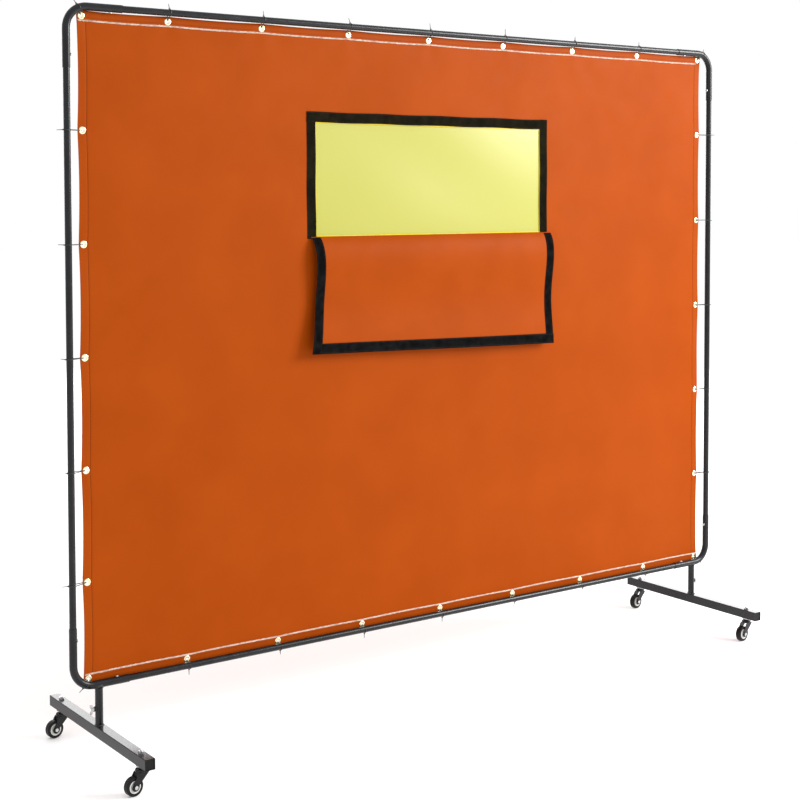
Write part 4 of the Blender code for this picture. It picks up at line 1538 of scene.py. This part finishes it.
@dataclass
class Curtain:
    """The coated curtain with its hems, raw edges and seams."""

    thickness: float = 0.0008
    hem: float = 0.026
    hem_lift: float = 0.0010
    hem_thickness: float = 0.0008
    hem_stop: float = 0.022
    stitch_inset: float = 0.018
    stitch_pitch: float = 0.0042
    # Half width of the side stitches: thread, widened so that it also paints the shadow in the
    # seam's groove.
    side_stitch_and_shadow: float = 0.0010
    seam_lines: tuple[float, ...] = (0.0225, 0.0245, 0.026, 0.0275, 0.0295)
    fray_pitch: float = 0.0030
    fray_strands: int = 6
    fray_width: float = 0.00052
    cell: float = 0.0118
    box: tuple[Vector, Vector] = field(default_factory=lambda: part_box("curtain"))
    pane: tuple[Vector, Vector] = field(default_factory=lambda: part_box("window_pane"))
    pane_lap: float = 0.025
    drape: Drape = field(init=False)

    def __post_init__(self) -> None:
        """Hangs the cloth in the curtain's CAD box."""
        self.drape = Drape(self.box[0], self.box[1])

    @property
    def opening(self) -> tuple[float, float, float, float]:
        """The window's left, right, bottom and top."""
        low, high = self.pane
        lap = self.pane_lap
        return low.x + lap, high.x - lap, low.z + lap, high.z - lap

    def build(self) -> None:
        """Builds the cloth and everything sewn along its edges."""
        hems = [self.build_hem("top"), self.build_hem("bottom")]
        hems += [self.build_back_hem("left"), self.build_back_hem("right")]
        trims = [self.build_raw_edge("top"), self.build_raw_edge("bottom")]
        trims += self.build_seams()
        cloth = self.build_cloth()
        left, right, bottom, top = self.opening

    def build_cloth(self) -> bpy.types.Object:
        """Builds the main sheet, with the window cut out of it.

        Returns:
            The sheet.
        """
        low, high = self.box
        left, right, bottom, top = self.opening
        seams = []
        for inset in self.seam_lines:
            seams += [low.x + inset, high.x - inset]
        xs = spaced(low.x, high.x, self.cell, [*seams, left, right, *self.drape.around(0)])
        zs = spaced(low.z, high.z, self.cell, [bottom, top, *self.drape.around(1)])
        grid_x, grid_z = np.meshgrid(xs, zs)
        points = self.drape.place(grid_x, grid_z)
        middle_x = (xs[:-1] + xs[1:]) / 2
        middle_z = (zs[:-1] + zs[1:]) / 2
        across = (middle_x > left) & (middle_x < right)
        upwards = (middle_z > bottom) & (middle_z < top)
        missing = upwards[:, None] & across[None, :] | self.drape.punched(xs, zs)
        cloth = grid_piece("curtain_cloth", points, self.thickness, missing)
        return dress(cloth, CURTAIN_CLOTH, ["curtain"], smooth=40)

    def level_of(self, edge: str, inset: float) -> float:
        """Returns the height of a line parallel to the top or bottom edge."""
        low, high = self.box
        return high.z - inset if edge == "top" else low.z + inset

    def build_hem(self, edge: str) -> bpy.types.Object:
        """Builds a hem folded to the front along the top or bottom edge.

        Args:
            edge: "top" or "bottom".

        Returns:
            The hem.
        """
        low, high = self.box
        end = high.x - (self.hem_stop if edge == "top" else 0.0)
        xs = spaced(low.x, end, self.cell, self.drape.around(0))
        hole = self.drape.hole_insets
        insets = np.array([-0.0006, 0.0, 0.005, *hole, 0.0205, self.hem])
        lifts = self.hem_lift * np.array([0.55, 0.9, 1.1, 1.1, 0.8, 1.05, 0.95])
        if edge == "top":
            insets, lifts = insets[::-1], lifts[::-1]
        zs = np.array([self.level_of(edge, inset) for inset in insets])
        grid_x, grid_z = np.meshgrid(xs, zs)
        points = self.drape.place(grid_x, grid_z, lifts[:, None])
        holes = self.drape.punched(xs, zs)
        hem = grid_piece(f"curtain_{edge}_hem", points, self.hem_thickness, holes)
        return dress(hem, CURTAIN_CLOTH, smooth=50)

    def build_back_hem(self, edge: str) -> bpy.types.Object:
        """Builds a hem folded to the back along the left or right edge.

        Args:
            edge: "left" or "right".

        Returns:
            The hem.
        """
        low, high = self.box
        zs = spaced(low.z, high.z, self.cell, self.drape.around(1))
        hole = self.drape.hole_insets
        xs = np.array([0.0, *hole, 0.0225, self.hem, 0.0295])
        xs = low.x + xs if edge == "left" else (high.x - xs)[::-1]
        grid_x, grid_z = np.meshgrid(xs, zs)
        points = self.drape.place(grid_x, grid_z, -self.thickness - SKIN)
        holes = self.drape.punched(xs, zs)
        hem = grid_piece(f"curtain_{edge}_hem", points, self.hem_thickness, holes)
        return dress(hem, CURTAIN_CLOTH, smooth=50)

    def build_raw_edge(self, edge: str) -> bpy.types.Object:
        """Builds the frayed glass yarns along a front hem's raw edge.

        Args:
            edge: "top" or "bottom".

        Returns:
            The frayed edge.
        """
        chance = random.Random(11 if edge == "top" else 12)
        low, high = self.box
        start = low.x + 0.0005
        end = high.x - (self.hem_stop if edge == "top" else 0.0005)
        level = self.level_of(edge, self.hem)
        inward = -1 if edge == "top" else 1
        count = int((end - start) / self.fray_pitch)
        starts, ends = [], []
        for strand in range(self.fray_strands):
            for step in range(count):
                x = start + (end - start) * (step + 0.17 * strand) / count
                wander = chance.uniform(-0.0005, 0.0005)
                rise = inward * (0.0007 * strand - 0.0016) + wander
                reach = min(x + chance.uniform(0.0045, 0.0075), end)
                lift = self.hem_lift + chance.uniform(0.0, 0.0006)
                starts.append((x, level + rise, lift))
                ends.append((reach, level + rise + chance.uniform(-0.0003, 0.0003), lift))
        for step in range(count // 2):
            x = start + (end - start) * chance.random()
            tip = inward * chance.uniform(0.0012, 0.0036)
            starts.append((x, level - inward * 0.0006, self.hem_lift))
            ends.append((x + chance.uniform(-0.0014, 0.0014), level + tip, self.hem_lift + 0.0004))
        first = self.drape.place(*np.array(starts).T)
        second = self.drape.place(*np.array(ends).T)
        fray = spikes_piece(f"curtain_{edge}_frayed_edge", first, second, self.fray_width)
        return dress(fray, RAW_EDGE, smooth=80)

    def build_seams(self) -> list[bpy.types.Object]:
        """Builds the rows of stitches along the four hems.

        Returns:
            The rows.
        """
        low, high = self.box
        rows = []
        lift = self.hem_lift * 0.95
        for edge in ("top", "bottom"):
            level = self.level_of(edge, self.stitch_inset)
            line = lambda along, z=level: self.drape.place(low.x + along, z, lift)
            seam = stitches(f"curtain_{edge}_seam", line, high.x - low.x, self.stitch_pitch)
            rows.append(dress(seam, DARK_THREAD, smooth=80))
        # The side seams' dark stitches are drawn wide, so that they paint the groove's shadow as
        # well as the thread.
        for edge, x in (("left", low.x + self.hem), ("right", high.x - self.hem)):
            line = lambda along, x=x: self.drape.place(x, low.z + along, SKIN)
            length, width = high.z - low.z, self.side_stitch_and_shadow
            seam = stitches(f"curtain_{edge}_seam", line, length, self.stitch_pitch, width)
            rows.append(dress(seam, DARK_THREAD, smooth=80))
        return rows


# Window, its tapes and the flap


class Taped:
    """A sheet with tape round it: strips, each sewn down along both of its long edges.

    The window and its flap each say where their own points lie, how their pieces are dressed,
    and how their tape wavers.
    """

    label: str
    tape_name: str
    tape: Finish
    tape_width: float
    tape_thickness: float
    cell: float
    tape_cell: float = 0.0052
    edge_round: float = 0.004
    edge_height: float = 0.72
    row_inset: float = 0.0028
    row_pitch: float = 0.0038

    def put(self, across: np.ndarray, along: np.ndarray, lift: float | np.ndarray) -> np.ndarray:
        """Returns where points of the flat sheet lie."""
        raise NotImplementedError

    def finish(self, piece: bpy.types.Object, finish: Finish) -> None:
        """Dresses a piece that is sewn on."""
        raise NotImplementedError

    def waver(self, first: np.ndarray, second: np.ndarray, upright: bool, lift: float) -> None:
        """Moves a strip's points a little sideways, where its tape isn't quite straight."""

    def add_strips(self, strips: dict[str, tuple[Spot, Spot, float]]) -> list[bpy.types.Object]:
        """Builds each strip and the stitches along it.

        Args:
            strips: For each name, the strip's lowest and highest place, and how far its back
                stands off the sheet.

        Returns:
            For each strip, the strip and its two rows of stitches.
        """
        made = []
        for name, (start, end, lift) in strips.items():
            made.append(self.build_strip(name, start, end, lift))
            made += self.sew(name, start, end, lift)
        return made

    def build_strip(self, name: str, start: Spot, end: Spot, lift: float) -> bpy.types.Object:
        """Builds one strip of tape with rounded edges.

        Args:
            name: The strip's name.
            start: Its lowest place.
            end: Its highest place.
            lift: How far its back stands off the sheet.

        Returns:
            The strip.
        """
        upright = end[1] - start[1] > end[0] - start[0]
        firsts = spaced(start[0], end[0], self.tape_cell if upright else self.cell)
        seconds = spaced(start[1], end[1], self.cell if upright else self.tape_cell)
        first, second = np.meshgrid(firsts, self.rows(seconds))
        self.waver(first, second, upright, lift)
        inside = np.minimum.reduce(
            [first - start[0], end[0] - first, second - start[1], end[1] - second]
        )
        rim = self.edge_height + 0.28 * np.clip(inside / self.edge_round, 0, 1)
        points = self.put(first, second, lift + self.tape_thickness * rim + SKIN)
        piece = f"{self.label}_{name}_{self.tape_name}_strip"
        strip = grid_piece(piece, points, self.tape_thickness * 0.7)
        self.finish(strip, self.tape)
        return strip

    def rows(self, places: np.ndarray) -> np.ndarray:
        """Returns the rows of a grid in their order upwards."""
        return places

    def sew(self, name: str, start: Spot, end: Spot, lift: float) -> list[bpy.types.Object]:
        """Sews a strip down along both of its long edges.

        Args:
            name: The strip's name.
            start: Its lowest place.
            end: Its highest place.
            lift: How far its back stands off the sheet.

        Returns:
            The two rows of stitches.
        """
        upright = end[1] - start[1] > end[0] - start[0]
        face = lift + self.tape_thickness + SKIN
        seams = []
        for row, inset in enumerate((self.row_inset, self.tape_width - self.row_inset)):
            if upright:
                first = start[0] + inset
                line = lambda along, first=first: self.put(first, start[1] + along, face)
                length = end[1] - start[1]
            else:
                second = start[1] + inset
                line = lambda along, second=second: self.put(start[0] + along, second, face)
                length = end[0] - start[0]
            seam = stitches(f"{self.label}_{name}_seam_{row + 1}", line, length, self.row_pitch)
            self.finish(seam, BLACK_THREAD)
            seams.append(seam)
        return seams


@dataclass
class Window(Taped):
    """The film window and the hook tape round it."""

    curtain: Curtain
    border: tuple[Vector, Vector] = field(default_factory=lambda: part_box("window_hook_tape"))
    label: str = "window"
    tape_name: str = "hook"
    tape: Finish = HOOK_TAPE
    tape_width: float = 0.031
    tape_thickness: float = 0.0016
    overlap: float = 0.0007
    tail: float = 0.006
    waviness: float = 0.0007
    film_back: float = 0.0003
    # Width of the bright band of painted glow round the opening.
    edge_glow: float = 0.0062
    edge_glow_thickness: float = 0.0012
    film: float = 0.0006
    slack: float = 0.004
    ripple: float = 0.0008
    cell: float = 0.0075

    def build(self) -> None:
        """Builds the film, the bright band of painted glow round the opening and the three tape
        strips.
        """
        pane = self.build_pane()
        edge_glow = self.build_edge_glow()
        low, high = self.border
        width = self.tape_width
        left_end = (low.x + width, high.z - 0.004)
        strips = {
            "left": ((low.x, low.z - self.tail), left_end, 0.0),
            "top": ((low.x - 0.001, high.z - width), (high.x - 0.002, high.z), self.overlap),
            "right": ((high.x - width, low.z + 0.001), (high.x, high.z + 0.001), 2 * self.overlap),
        }
        made = self.add_strips(strips)
        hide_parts("window_hook_tape")
        film_low, film_high = self.curtain.pane

    def put(self, across: np.ndarray, along: np.ndarray, lift: float | np.ndarray) -> np.ndarray:
        """Returns where points in front of the hung curtain lie."""
        return self.curtain.drape.place(across, along, lift)

    def finish(self, piece: bpy.types.Object, finish: Finish) -> None:
        """Dresses a strip or a row of stitches."""
        dress(piece, finish, smooth=80 if finish is BLACK_THREAD else 50)

    def waver(self, first: np.ndarray, second: np.ndarray, upright: bool, lift: float) -> None:
        """Lets the hook tape waver sideways."""
        if upright:
            first += self.waviness * np.sin(second * 31 + lift * 900)
        else:
            second += self.waviness * np.sin(first * 27 + 1)

    def build_pane(self) -> bpy.types.Object:
        """Builds the film, sewn behind the opening and slightly slack.

        Returns:
            The film.
        """
        low, high = self.curtain.pane
        xs = spaced(low.x, high.x, 2 * self.cell)
        zs = spaced(low.z, high.z, 2 * self.cell)
        grid_x, grid_z = np.meshgrid(xs, zs)
        points = self.put(grid_x, grid_z, -self.curtain.thickness - self.film_back)
        across = (grid_x - low.x) / (high.x - low.x)
        upwards = (grid_z - low.z) / (high.z - low.z)
        loose = np.sin(math.pi * across) * np.sin(math.pi * upwards)
        wave = np.sin(9 * across + 5 * upwards)
        points[..., 1] += self.slack * loose + self.ripple * loose * wave
        pane = grid_piece("window_film", points, self.film)
        return dress(pane, WINDOW_FILM, ["window_pane"], smooth=60)

    def build_edge_glow(self) -> bpy.types.Object:
        """Builds the narrow bright band round the edge of the opening: the film's yellow edge,
        painted brighter as a glow of light shining through the film.

        Returns:
            The band.
        """
        left, right, bottom, top = self.curtain.opening
        sides = []
        for name, start, end in (
            ("bottom", (left, bottom), (right, bottom + self.edge_glow / 2)),
            ("top", (left, top - self.edge_glow), (right, top)),
            ("left", (left, bottom), (left + self.edge_glow, top)),
            ("right", (right - self.edge_glow, bottom), (right, top)),
        ):
            xs = spaced(start[0], end[0], self.cell)
            zs = spaced(start[1], end[1], self.cell)
            points = self.put(*np.meshgrid(xs, zs), SKIN)
            sides.append(grid_piece("edge_glow_" + name, points, self.edge_glow_thickness))
        edge_glow = join("window_film_edge_glow", sides)
        return dress(edge_glow, FILM_EDGE_GLOW)


@dataclass
class Flap(Taped):
    """The window flap, hanging open from its fold, with loop tape on the side that shows.

    Each side edge drifts sideways by a constant, plus a share of its way down, plus a share of
    the square of it.
    """

    curtain: Curtain
    box: tuple[Vector, Vector] = field(default_factory=lambda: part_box("window_flap"))
    label: str = "flap"
    tape_name: str = "loop"
    tape: Finish = LOOP_TAPE
    joint: str = "window_flap_lift"
    body: str = "flap"
    tape_width: float = 0.031
    tape_thickness: float = 0.0014
    thickness: float = 0.0009
    stand_off: float = 0.0022
    fold_reach: float = 0.028
    belly: float = 0.024
    hollow: float = 0.010
    wave: float = 0.0022
    flutter: float = 0.0011
    left_curl: float = 0.006
    right_curl: float = 0.003
    left_drift: tuple[float, float, float] = (-0.0065, 0.0386, -0.0571)
    right_drift: tuple[float, float, float] = (0.0036, -0.0162, 0.0080)
    left_lift: float = 0.012
    right_drop: float = 0.009
    cell: float = 0.0085
    keep: float = 0.1

    @property
    def width(self) -> float:
        """The flap's width."""
        return self.box[1].x - self.box[0].x

    @property
    def length(self) -> float:
        """The flap's length from its fold."""
        return self.box[1].z - self.box[0].z

    def put(
        self, across: np.ndarray, along: np.ndarray, lift: float | np.ndarray = 0.0
    ) -> np.ndarray:
        """Puts points of the flat flap where it hangs.

        Args:
            across: Distances from its left edge.
            along: Distances down from its fold.
            lift: How far they stand in front of its front face.

        Returns:
            Their points, with three numbers last.
        """
        across, down = np.broadcast_arrays(np.asarray(across, float), np.asarray(along, float))
        share = np.clip(down / self.length, 0, 1)
        side = across / self.width
        rise = 1 - np.exp(-np.clip(down, 0, None) / self.fold_reach)
        wave = self.wave * np.sin(2 * math.pi * (1.3 * side + 0.5 * share)) * share
        below_fold = np.clip((share - 0.15) / 0.85, 0, 1)
        hollow = -self.hollow * np.sin(math.pi * below_fold) ** 2
        curl = self.left_curl * (1 - side) * share**3 + self.right_curl * side * share**3
        out = self.belly * rise + hollow + wave + curl
        flutter = self.flutter * np.sin(21 * down + 7 * side) * share
        powers = np.stack([np.ones_like(share), share, share**2])
        x = self.box[0].x + across + flutter
        x = x + (1 - side) * np.tensordot(self.left_drift, powers, 1)
        x = x + side * np.tensordot(self.right_drift, powers, 1)
        z = self.box[1].z + self.stand_off * rise - down
        z = z + share * (self.left_lift * (1 - side) - self.right_drop * side)
        hung = self.curtain.drape.place(x, self.box[1].z)
        y = hung[..., 1] - self.stand_off - out - lift
        return np.stack([x, y, z], axis=-1)

    def build(self) -> None:
        """Builds the flap, its fold, its tapes and their stitches."""
        columns = spaced(0, self.width, self.cell)
        rows = self.rows(spaced(0, self.length, self.cell, [0.004, 0.008, 0.013, 0.02]))
        cloth = grid_piece("flap_cloth", self.put(*np.meshgrid(columns, rows)), self.thickness)
        self.finish(cloth, FLAP_CLOTH, ["window_flap"])
        width, length = self.width, self.length
        tape = self.tape_width
        strips = {
            "left": ((0.0, 0.002), (tape, length + 0.001), 0.0009),
            "right": ((width - tape, 0.002), (width, length), 0.0),
            "bottom": ((tape - 0.003, length - tape), (width + 0.001, length + 0.001), 0.0005),
        }
        made = self.add_strips(strips)
        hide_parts("window_flap_loop_tape")

    def rows(self, places: np.ndarray) -> np.ndarray:
        """Returns the rows of a grid in their order upwards."""
        return places[::-1]

    def finish(
        self, piece: bpy.types.Object, finish: Finish, replaces: Sequence[str] = ()
    ) -> None:
        """Dresses a piece of the flap, on the flap's body, and gives it a mesh of its own.

        Args:
            piece: The piece.
            finish: Its finish.
            replaces: The CAD nodes that it stands for.
        """
        dress(piece, finish, replaces, smooth=60, body=self.body)
        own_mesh(piece)


# Grommets and ties


@dataclass
class Ties:
    """The grommets in the curtain's hems and the nylon ties that hold them to the tubes."""

    drape: Drape
    tubes: TubeFrame
    hole: float = 0.0050
    ring_radius: float = 0.0102
    strap_width: float = 0.0023
    strap_thickness: float = 0.0009
    clearance: float = 0.0006
    corner_angle: float = math.radians(22)
    tail: float = 0.017
    lock_width: float = 0.0038
    lock_height: float = 0.0032
    dome: float = 0.45
    washer_dome: float = 0.22
    front_z: float = 0.0008
    back_z: float = -0.0030

    def build(self) -> None:
        """Builds a grommet and a tie at every tied place."""
        grommet = self.model_grommet()
        chance = random.Random(7)
        for name, x, z, centre, radius in self.places():
            point = self.drape.place(np.array(x), np.array(z), 0.0010)
            spot = Vector((float(point[0]), float(point[1]) + 0.0009, float(point[2])))
            piece = copy_to(grommet, f"{name}_grommet", facing(spot, (0, -1, 0)))
            dress(piece, BRASS, smooth=60)
            self.build_tie(name, spot, centre, radius, chance)
        discard([grommet])

    def places(self) -> Iterator[tuple[str, float, float, Vector, float]]:
        """Yields each tied place: name, flat X and Z, the tube's centre there and its radius."""
        drape, tubes = self.drape, self.tubes
        columns = {-1: drape.low.x + drape.inset, 1: drape.high.x - drape.inset}
        levels = {-1: drape.low.z + drape.inset, 1: drape.high.z - drape.inset}
        for edge, level, height in (("top", 1, tubes.top_z), ("bottom", -1, tubes.bottom_z)):
            for index, x in enumerate(drape.ties[edge][1:-1]):
                centre = Vector((x, 0, height))
                yield f"{edge}_{index + 2}", x, levels[level], centre, tubes.tube
        for edge, side in SIDES.items():
            for index, z in enumerate(drape.ties[edge][1:-1]):
                centre = Vector((side * tubes.post_x, 0, z))
                yield f"{edge}_{index + 2}", columns[side], z, centre, tubes.tube
        for corner, (side, level) in CORNERS.items():
            x, z = columns[side], levels[level]
            centre = tubes.corner(corner, tubes.bend, tubes.bend)
            centre.x += side * tubes.bend * math.sin(self.corner_angle)
            centre.z += level * tubes.bend * math.cos(self.corner_angle)
            yield corner, x, z, centre, tubes.sleeve

    def model_grommet(self) -> bpy.types.Object:
        """Models a grommet that faces +Z: domed front ring, barrel and toothed back washer.

        Returns:
            The grommet.
        """
        middle = (self.hole + self.ring_radius) / 2
        width = (self.ring_radius - self.hole) / 2
        rings = []
        for name, z, dome in (
            ("front", self.front_z, self.dome),
            ("back", self.back_z, self.washer_dome),
        ):
            ring = add_ring(name, (0, 0, z), (0, 0, 1), middle, width, 40)
            with editing(ring, Kind.VERT):
                bpy.ops.mesh.select_all(action="SELECT")
                bpy.ops.transform.resize(value=(1, 1, dome), center_override=(0, 0, z))
            rings.append(ring)
        ends = ((0, 0, -0.0034), (0, 0, 0.0014))
        barrel = add_cylinder("barrel", self.hole + 0.0005, *ends, 40, capped=False)
        wall_in(barrel, 0.0006)
        return join("grommet_model", [*rings, barrel])

    def build_tie(
        self, name: str, spot: Vector, centre: Vector, radius: float, chance: random.Random
    ) -> None:
        """Builds a tie: a strap round the tube and through the grommet, with lock and tail.

        Args:
            name: The tied place's name.
            spot: The grommet's middle.
            centre: The tube's centre.
            radius: The tube's radius.
            chance: Gives each tie its own small turn.
        """
        towards = Vector((spot.x - centre.x, 0, spot.z - centre.z))
        distance = towards.length
        round_tube = radius + self.clearance
        ends = ((0, 0, -self.strap_width / 2), (0, 0, self.strap_width / 2))
        strap = add_cylinder("strap", round_tube, *ends, 36, capped=False)
        face_outwards(strap)
        far = distance - 0.75 * self.hole
        squeeze = 0.0034 / round_tube
        with editing(strap, Kind.VERT):
            choose(strap, Kind.VERT, lambda point, normal: point.x > 0.2 * round_tube)
            bpy.ops.transform.translate(value=(far - round_tube, spot.y, 0))
            pivot = (far, spot.y, 0)
            bpy.ops.transform.resize(value=(0.4, squeeze, 1), center_override=pivot)
        modify(strap, "SOLIDIFY", thickness=self.strap_thickness, offset=1)
        parts = [strap, *self.model_lock(round_tube, chance)]
        tie = join(f"{name}_tie", parts)
        across = towards.normalized()
        up = Vector((0, 1, 0))
        axis = across.cross(up)
        turn = Matrix((across, up, axis)).transposed().to_4x4()
        tie.data.transform(Matrix.Translation((centre.x, 0, centre.z)) @ turn)
        dress(tie, TIE_NYLON, smooth=40)

    def model_lock(self, round_tube: float, chance: random.Random) -> list[bpy.types.Object]:
        """Models a tie's lock on the outer side of the tube, and its cut tail.

        Args:
            round_tube: The strap's inner radius.
            chance: Gives each tie its own small turn.

        Returns:
            The lock and the tail.
        """
        start = round_tube + self.strap_thickness * 0.5
        half = self.strap_width / 2 + 0.0006
        angle = math.pi + chance.uniform(-0.16, 0.12)
        side, top = self.lock_width / 2, start + self.lock_height
        lock = add_box("lock", (start, -side, -half), (top, side, half))
        round_edges(lock, lambda middle, along: True, 0.0005, 2)
        length = self.tail + chance.uniform(-0.004, 0.004)
        slim = self.strap_thickness / 2
        wide = self.strap_width / 2
        tail = add_box("tail", (start, -slim, -wide), (start + length, slim, wide))
        with editing(tail, Kind.FACE):
            choose(tail, Kind.FACE, lambda middle, normal: normal.x > 0.9)
            end = (start + length, 0, 0)
            bpy.ops.transform.resize(value=(1, 0.7, 0.6), center_override=end)
            lean = (0, chance.uniform(-0.002, 0.002), chance.uniform(-0.003, 0.003))
            bpy.ops.transform.translate(value=lean)
        for part in (lock, tail):
            part.data.transform(Matrix.Rotation(angle, 4, "Z"))
        return [lock, tail]


# Studio


@dataclass(frozen=True)
class Softbox:
    """A flat light: its name, where it stands and points, its width and height, and its watts."""

    name: str
    place: Sequence[float]
    target: Sequence[float]
    size: tuple[float, float]
    power: float

    def build(self) -> None:
        """Puts the light in its place, facing its target."""
        data = bpy.data.lights.new(self.name, "AREA")
        data.shape = "RECTANGLE"
        data.size, data.size_y = self.size
        data.energy = self.power
        light = bpy.data.objects.new(self.name, data)
        direction = Vector(self.target) - Vector(self.place)
        turn = direction.to_track_quat("-Z", "Y").to_matrix().to_4x4()
        light.matrix_world = Matrix.Translation(Vector(self.place)) @ turn
        bpy.context.scene.collection.objects.link(light)


@dataclass
class Studio:
    """A pale floor, soft lights and the camera."""

    softboxes: tuple[Softbox, ...] = (
        Softbox("right_softbox", (4.4, -3.5, 3.3), (0.6, 0, 1.3), (2.6, 2.6), 420),
        Softbox("back_softbox", (5.0, 6.5, 2.9), (0, 0, 0.8), (12.0, 3.0), 450),
    )
    floor_size: float = 80
    floor_white: float = 0.94
    floor_glow: float = 0.08
    sky: float = 1.0
    eye: Vector = field(default_factory=lambda: Vector((-2.8805, -3.6008, 1.5358)))
    yaw: float = math.radians(33.761)
    pitch: float = math.radians(2.517)
    roll: float = math.radians(-0.2466)
    lens: float = 65.65
    shift: tuple[float, float] = (0.1104, -0.1678)

    def build(self) -> None:
        """Sets up the whole studio."""
        self.build_camera()
        self.build_floor()
        self.build_world()
        for softbox in self.softboxes:
            softbox.build()
        bpy.context.scene.view_settings.view_transform = "Standard"

    def build_camera(self) -> None:
        """Makes the camera from its place, turn and lens."""
        forward = Vector(
            (
                math.sin(self.yaw) * math.cos(self.pitch),
                math.cos(self.yaw) * math.cos(self.pitch),
                -math.sin(self.pitch),
            )
        )
        level = Vector((math.cos(self.yaw), -math.sin(self.yaw), 0))
        up = level.cross(forward)
        right = level * math.cos(self.roll) + up * math.sin(self.roll)
        top = up * math.cos(self.roll) - level * math.sin(self.roll)
        data = bpy.data.cameras.new("camera")
        data.lens = self.lens
        data.shift_x, data.shift_y = self.shift
        camera = bpy.data.objects.new("camera", data)
        turn = Matrix((right, top, -forward)).transposed().to_4x4()
        camera.matrix_world = Matrix.Translation(self.eye) @ turn
        bpy.context.scene.collection.objects.link(camera)
        bpy.context.scene.camera = camera

    def build_floor(self) -> None:
        """Makes the pale floor."""
        clear_bench()
        bpy.ops.mesh.primitive_plane_add(size=self.floor_size, location=(0, 0, 0))
        floor = settle("studio_floor")
        material = bpy.data.materials.new("pale_floor")
        material.use_nodes = True
        shader = material.node_tree.nodes["Principled BSDF"]
        shader.inputs["Base Color"].default_value = (*(3 * [self.floor_white]), 1)
        shader.inputs["Emission Color"].default_value = (1, 1, 1, 1)
        shader.inputs["Emission Strength"].default_value = self.floor_glow
        shader.inputs["Roughness"].default_value = 0.9
        shader.inputs["Specular IOR Level"].default_value = 0.1
        floor.data.materials.append(material)

    def build_world(self) -> None:
        """Lights the scene from all round with soft white."""
        world = bpy.data.worlds.new("studio_world")
        world.use_nodes = True
        background = world.node_tree.nodes["Background"]
        background.inputs["Color"].default_value = (1, 1, 1, 1)
        background.inputs["Strength"].default_value = self.sky
        bpy.context.scene.world = world


def main() -> None:
    """Builds the screen in order: studio, frame, feet, casters, cloth and ties."""
    logging.basicConfig(level=logging.INFO, format="%(message)s")
    Studio().build()
    tubes = TubeFrame()
    tubes.build()
    for side_name in SIDES:
        FootBar(side_name, tube=tubes.tube).build()
    Caster().build_all()
    curtain = Curtain()
    curtain.build()
    Window(curtain).build()
    Flap(curtain).build()
    Ties(curtain.drape, tubes).build()
    clear_bench()


if __name__ == "__main__":
    main()
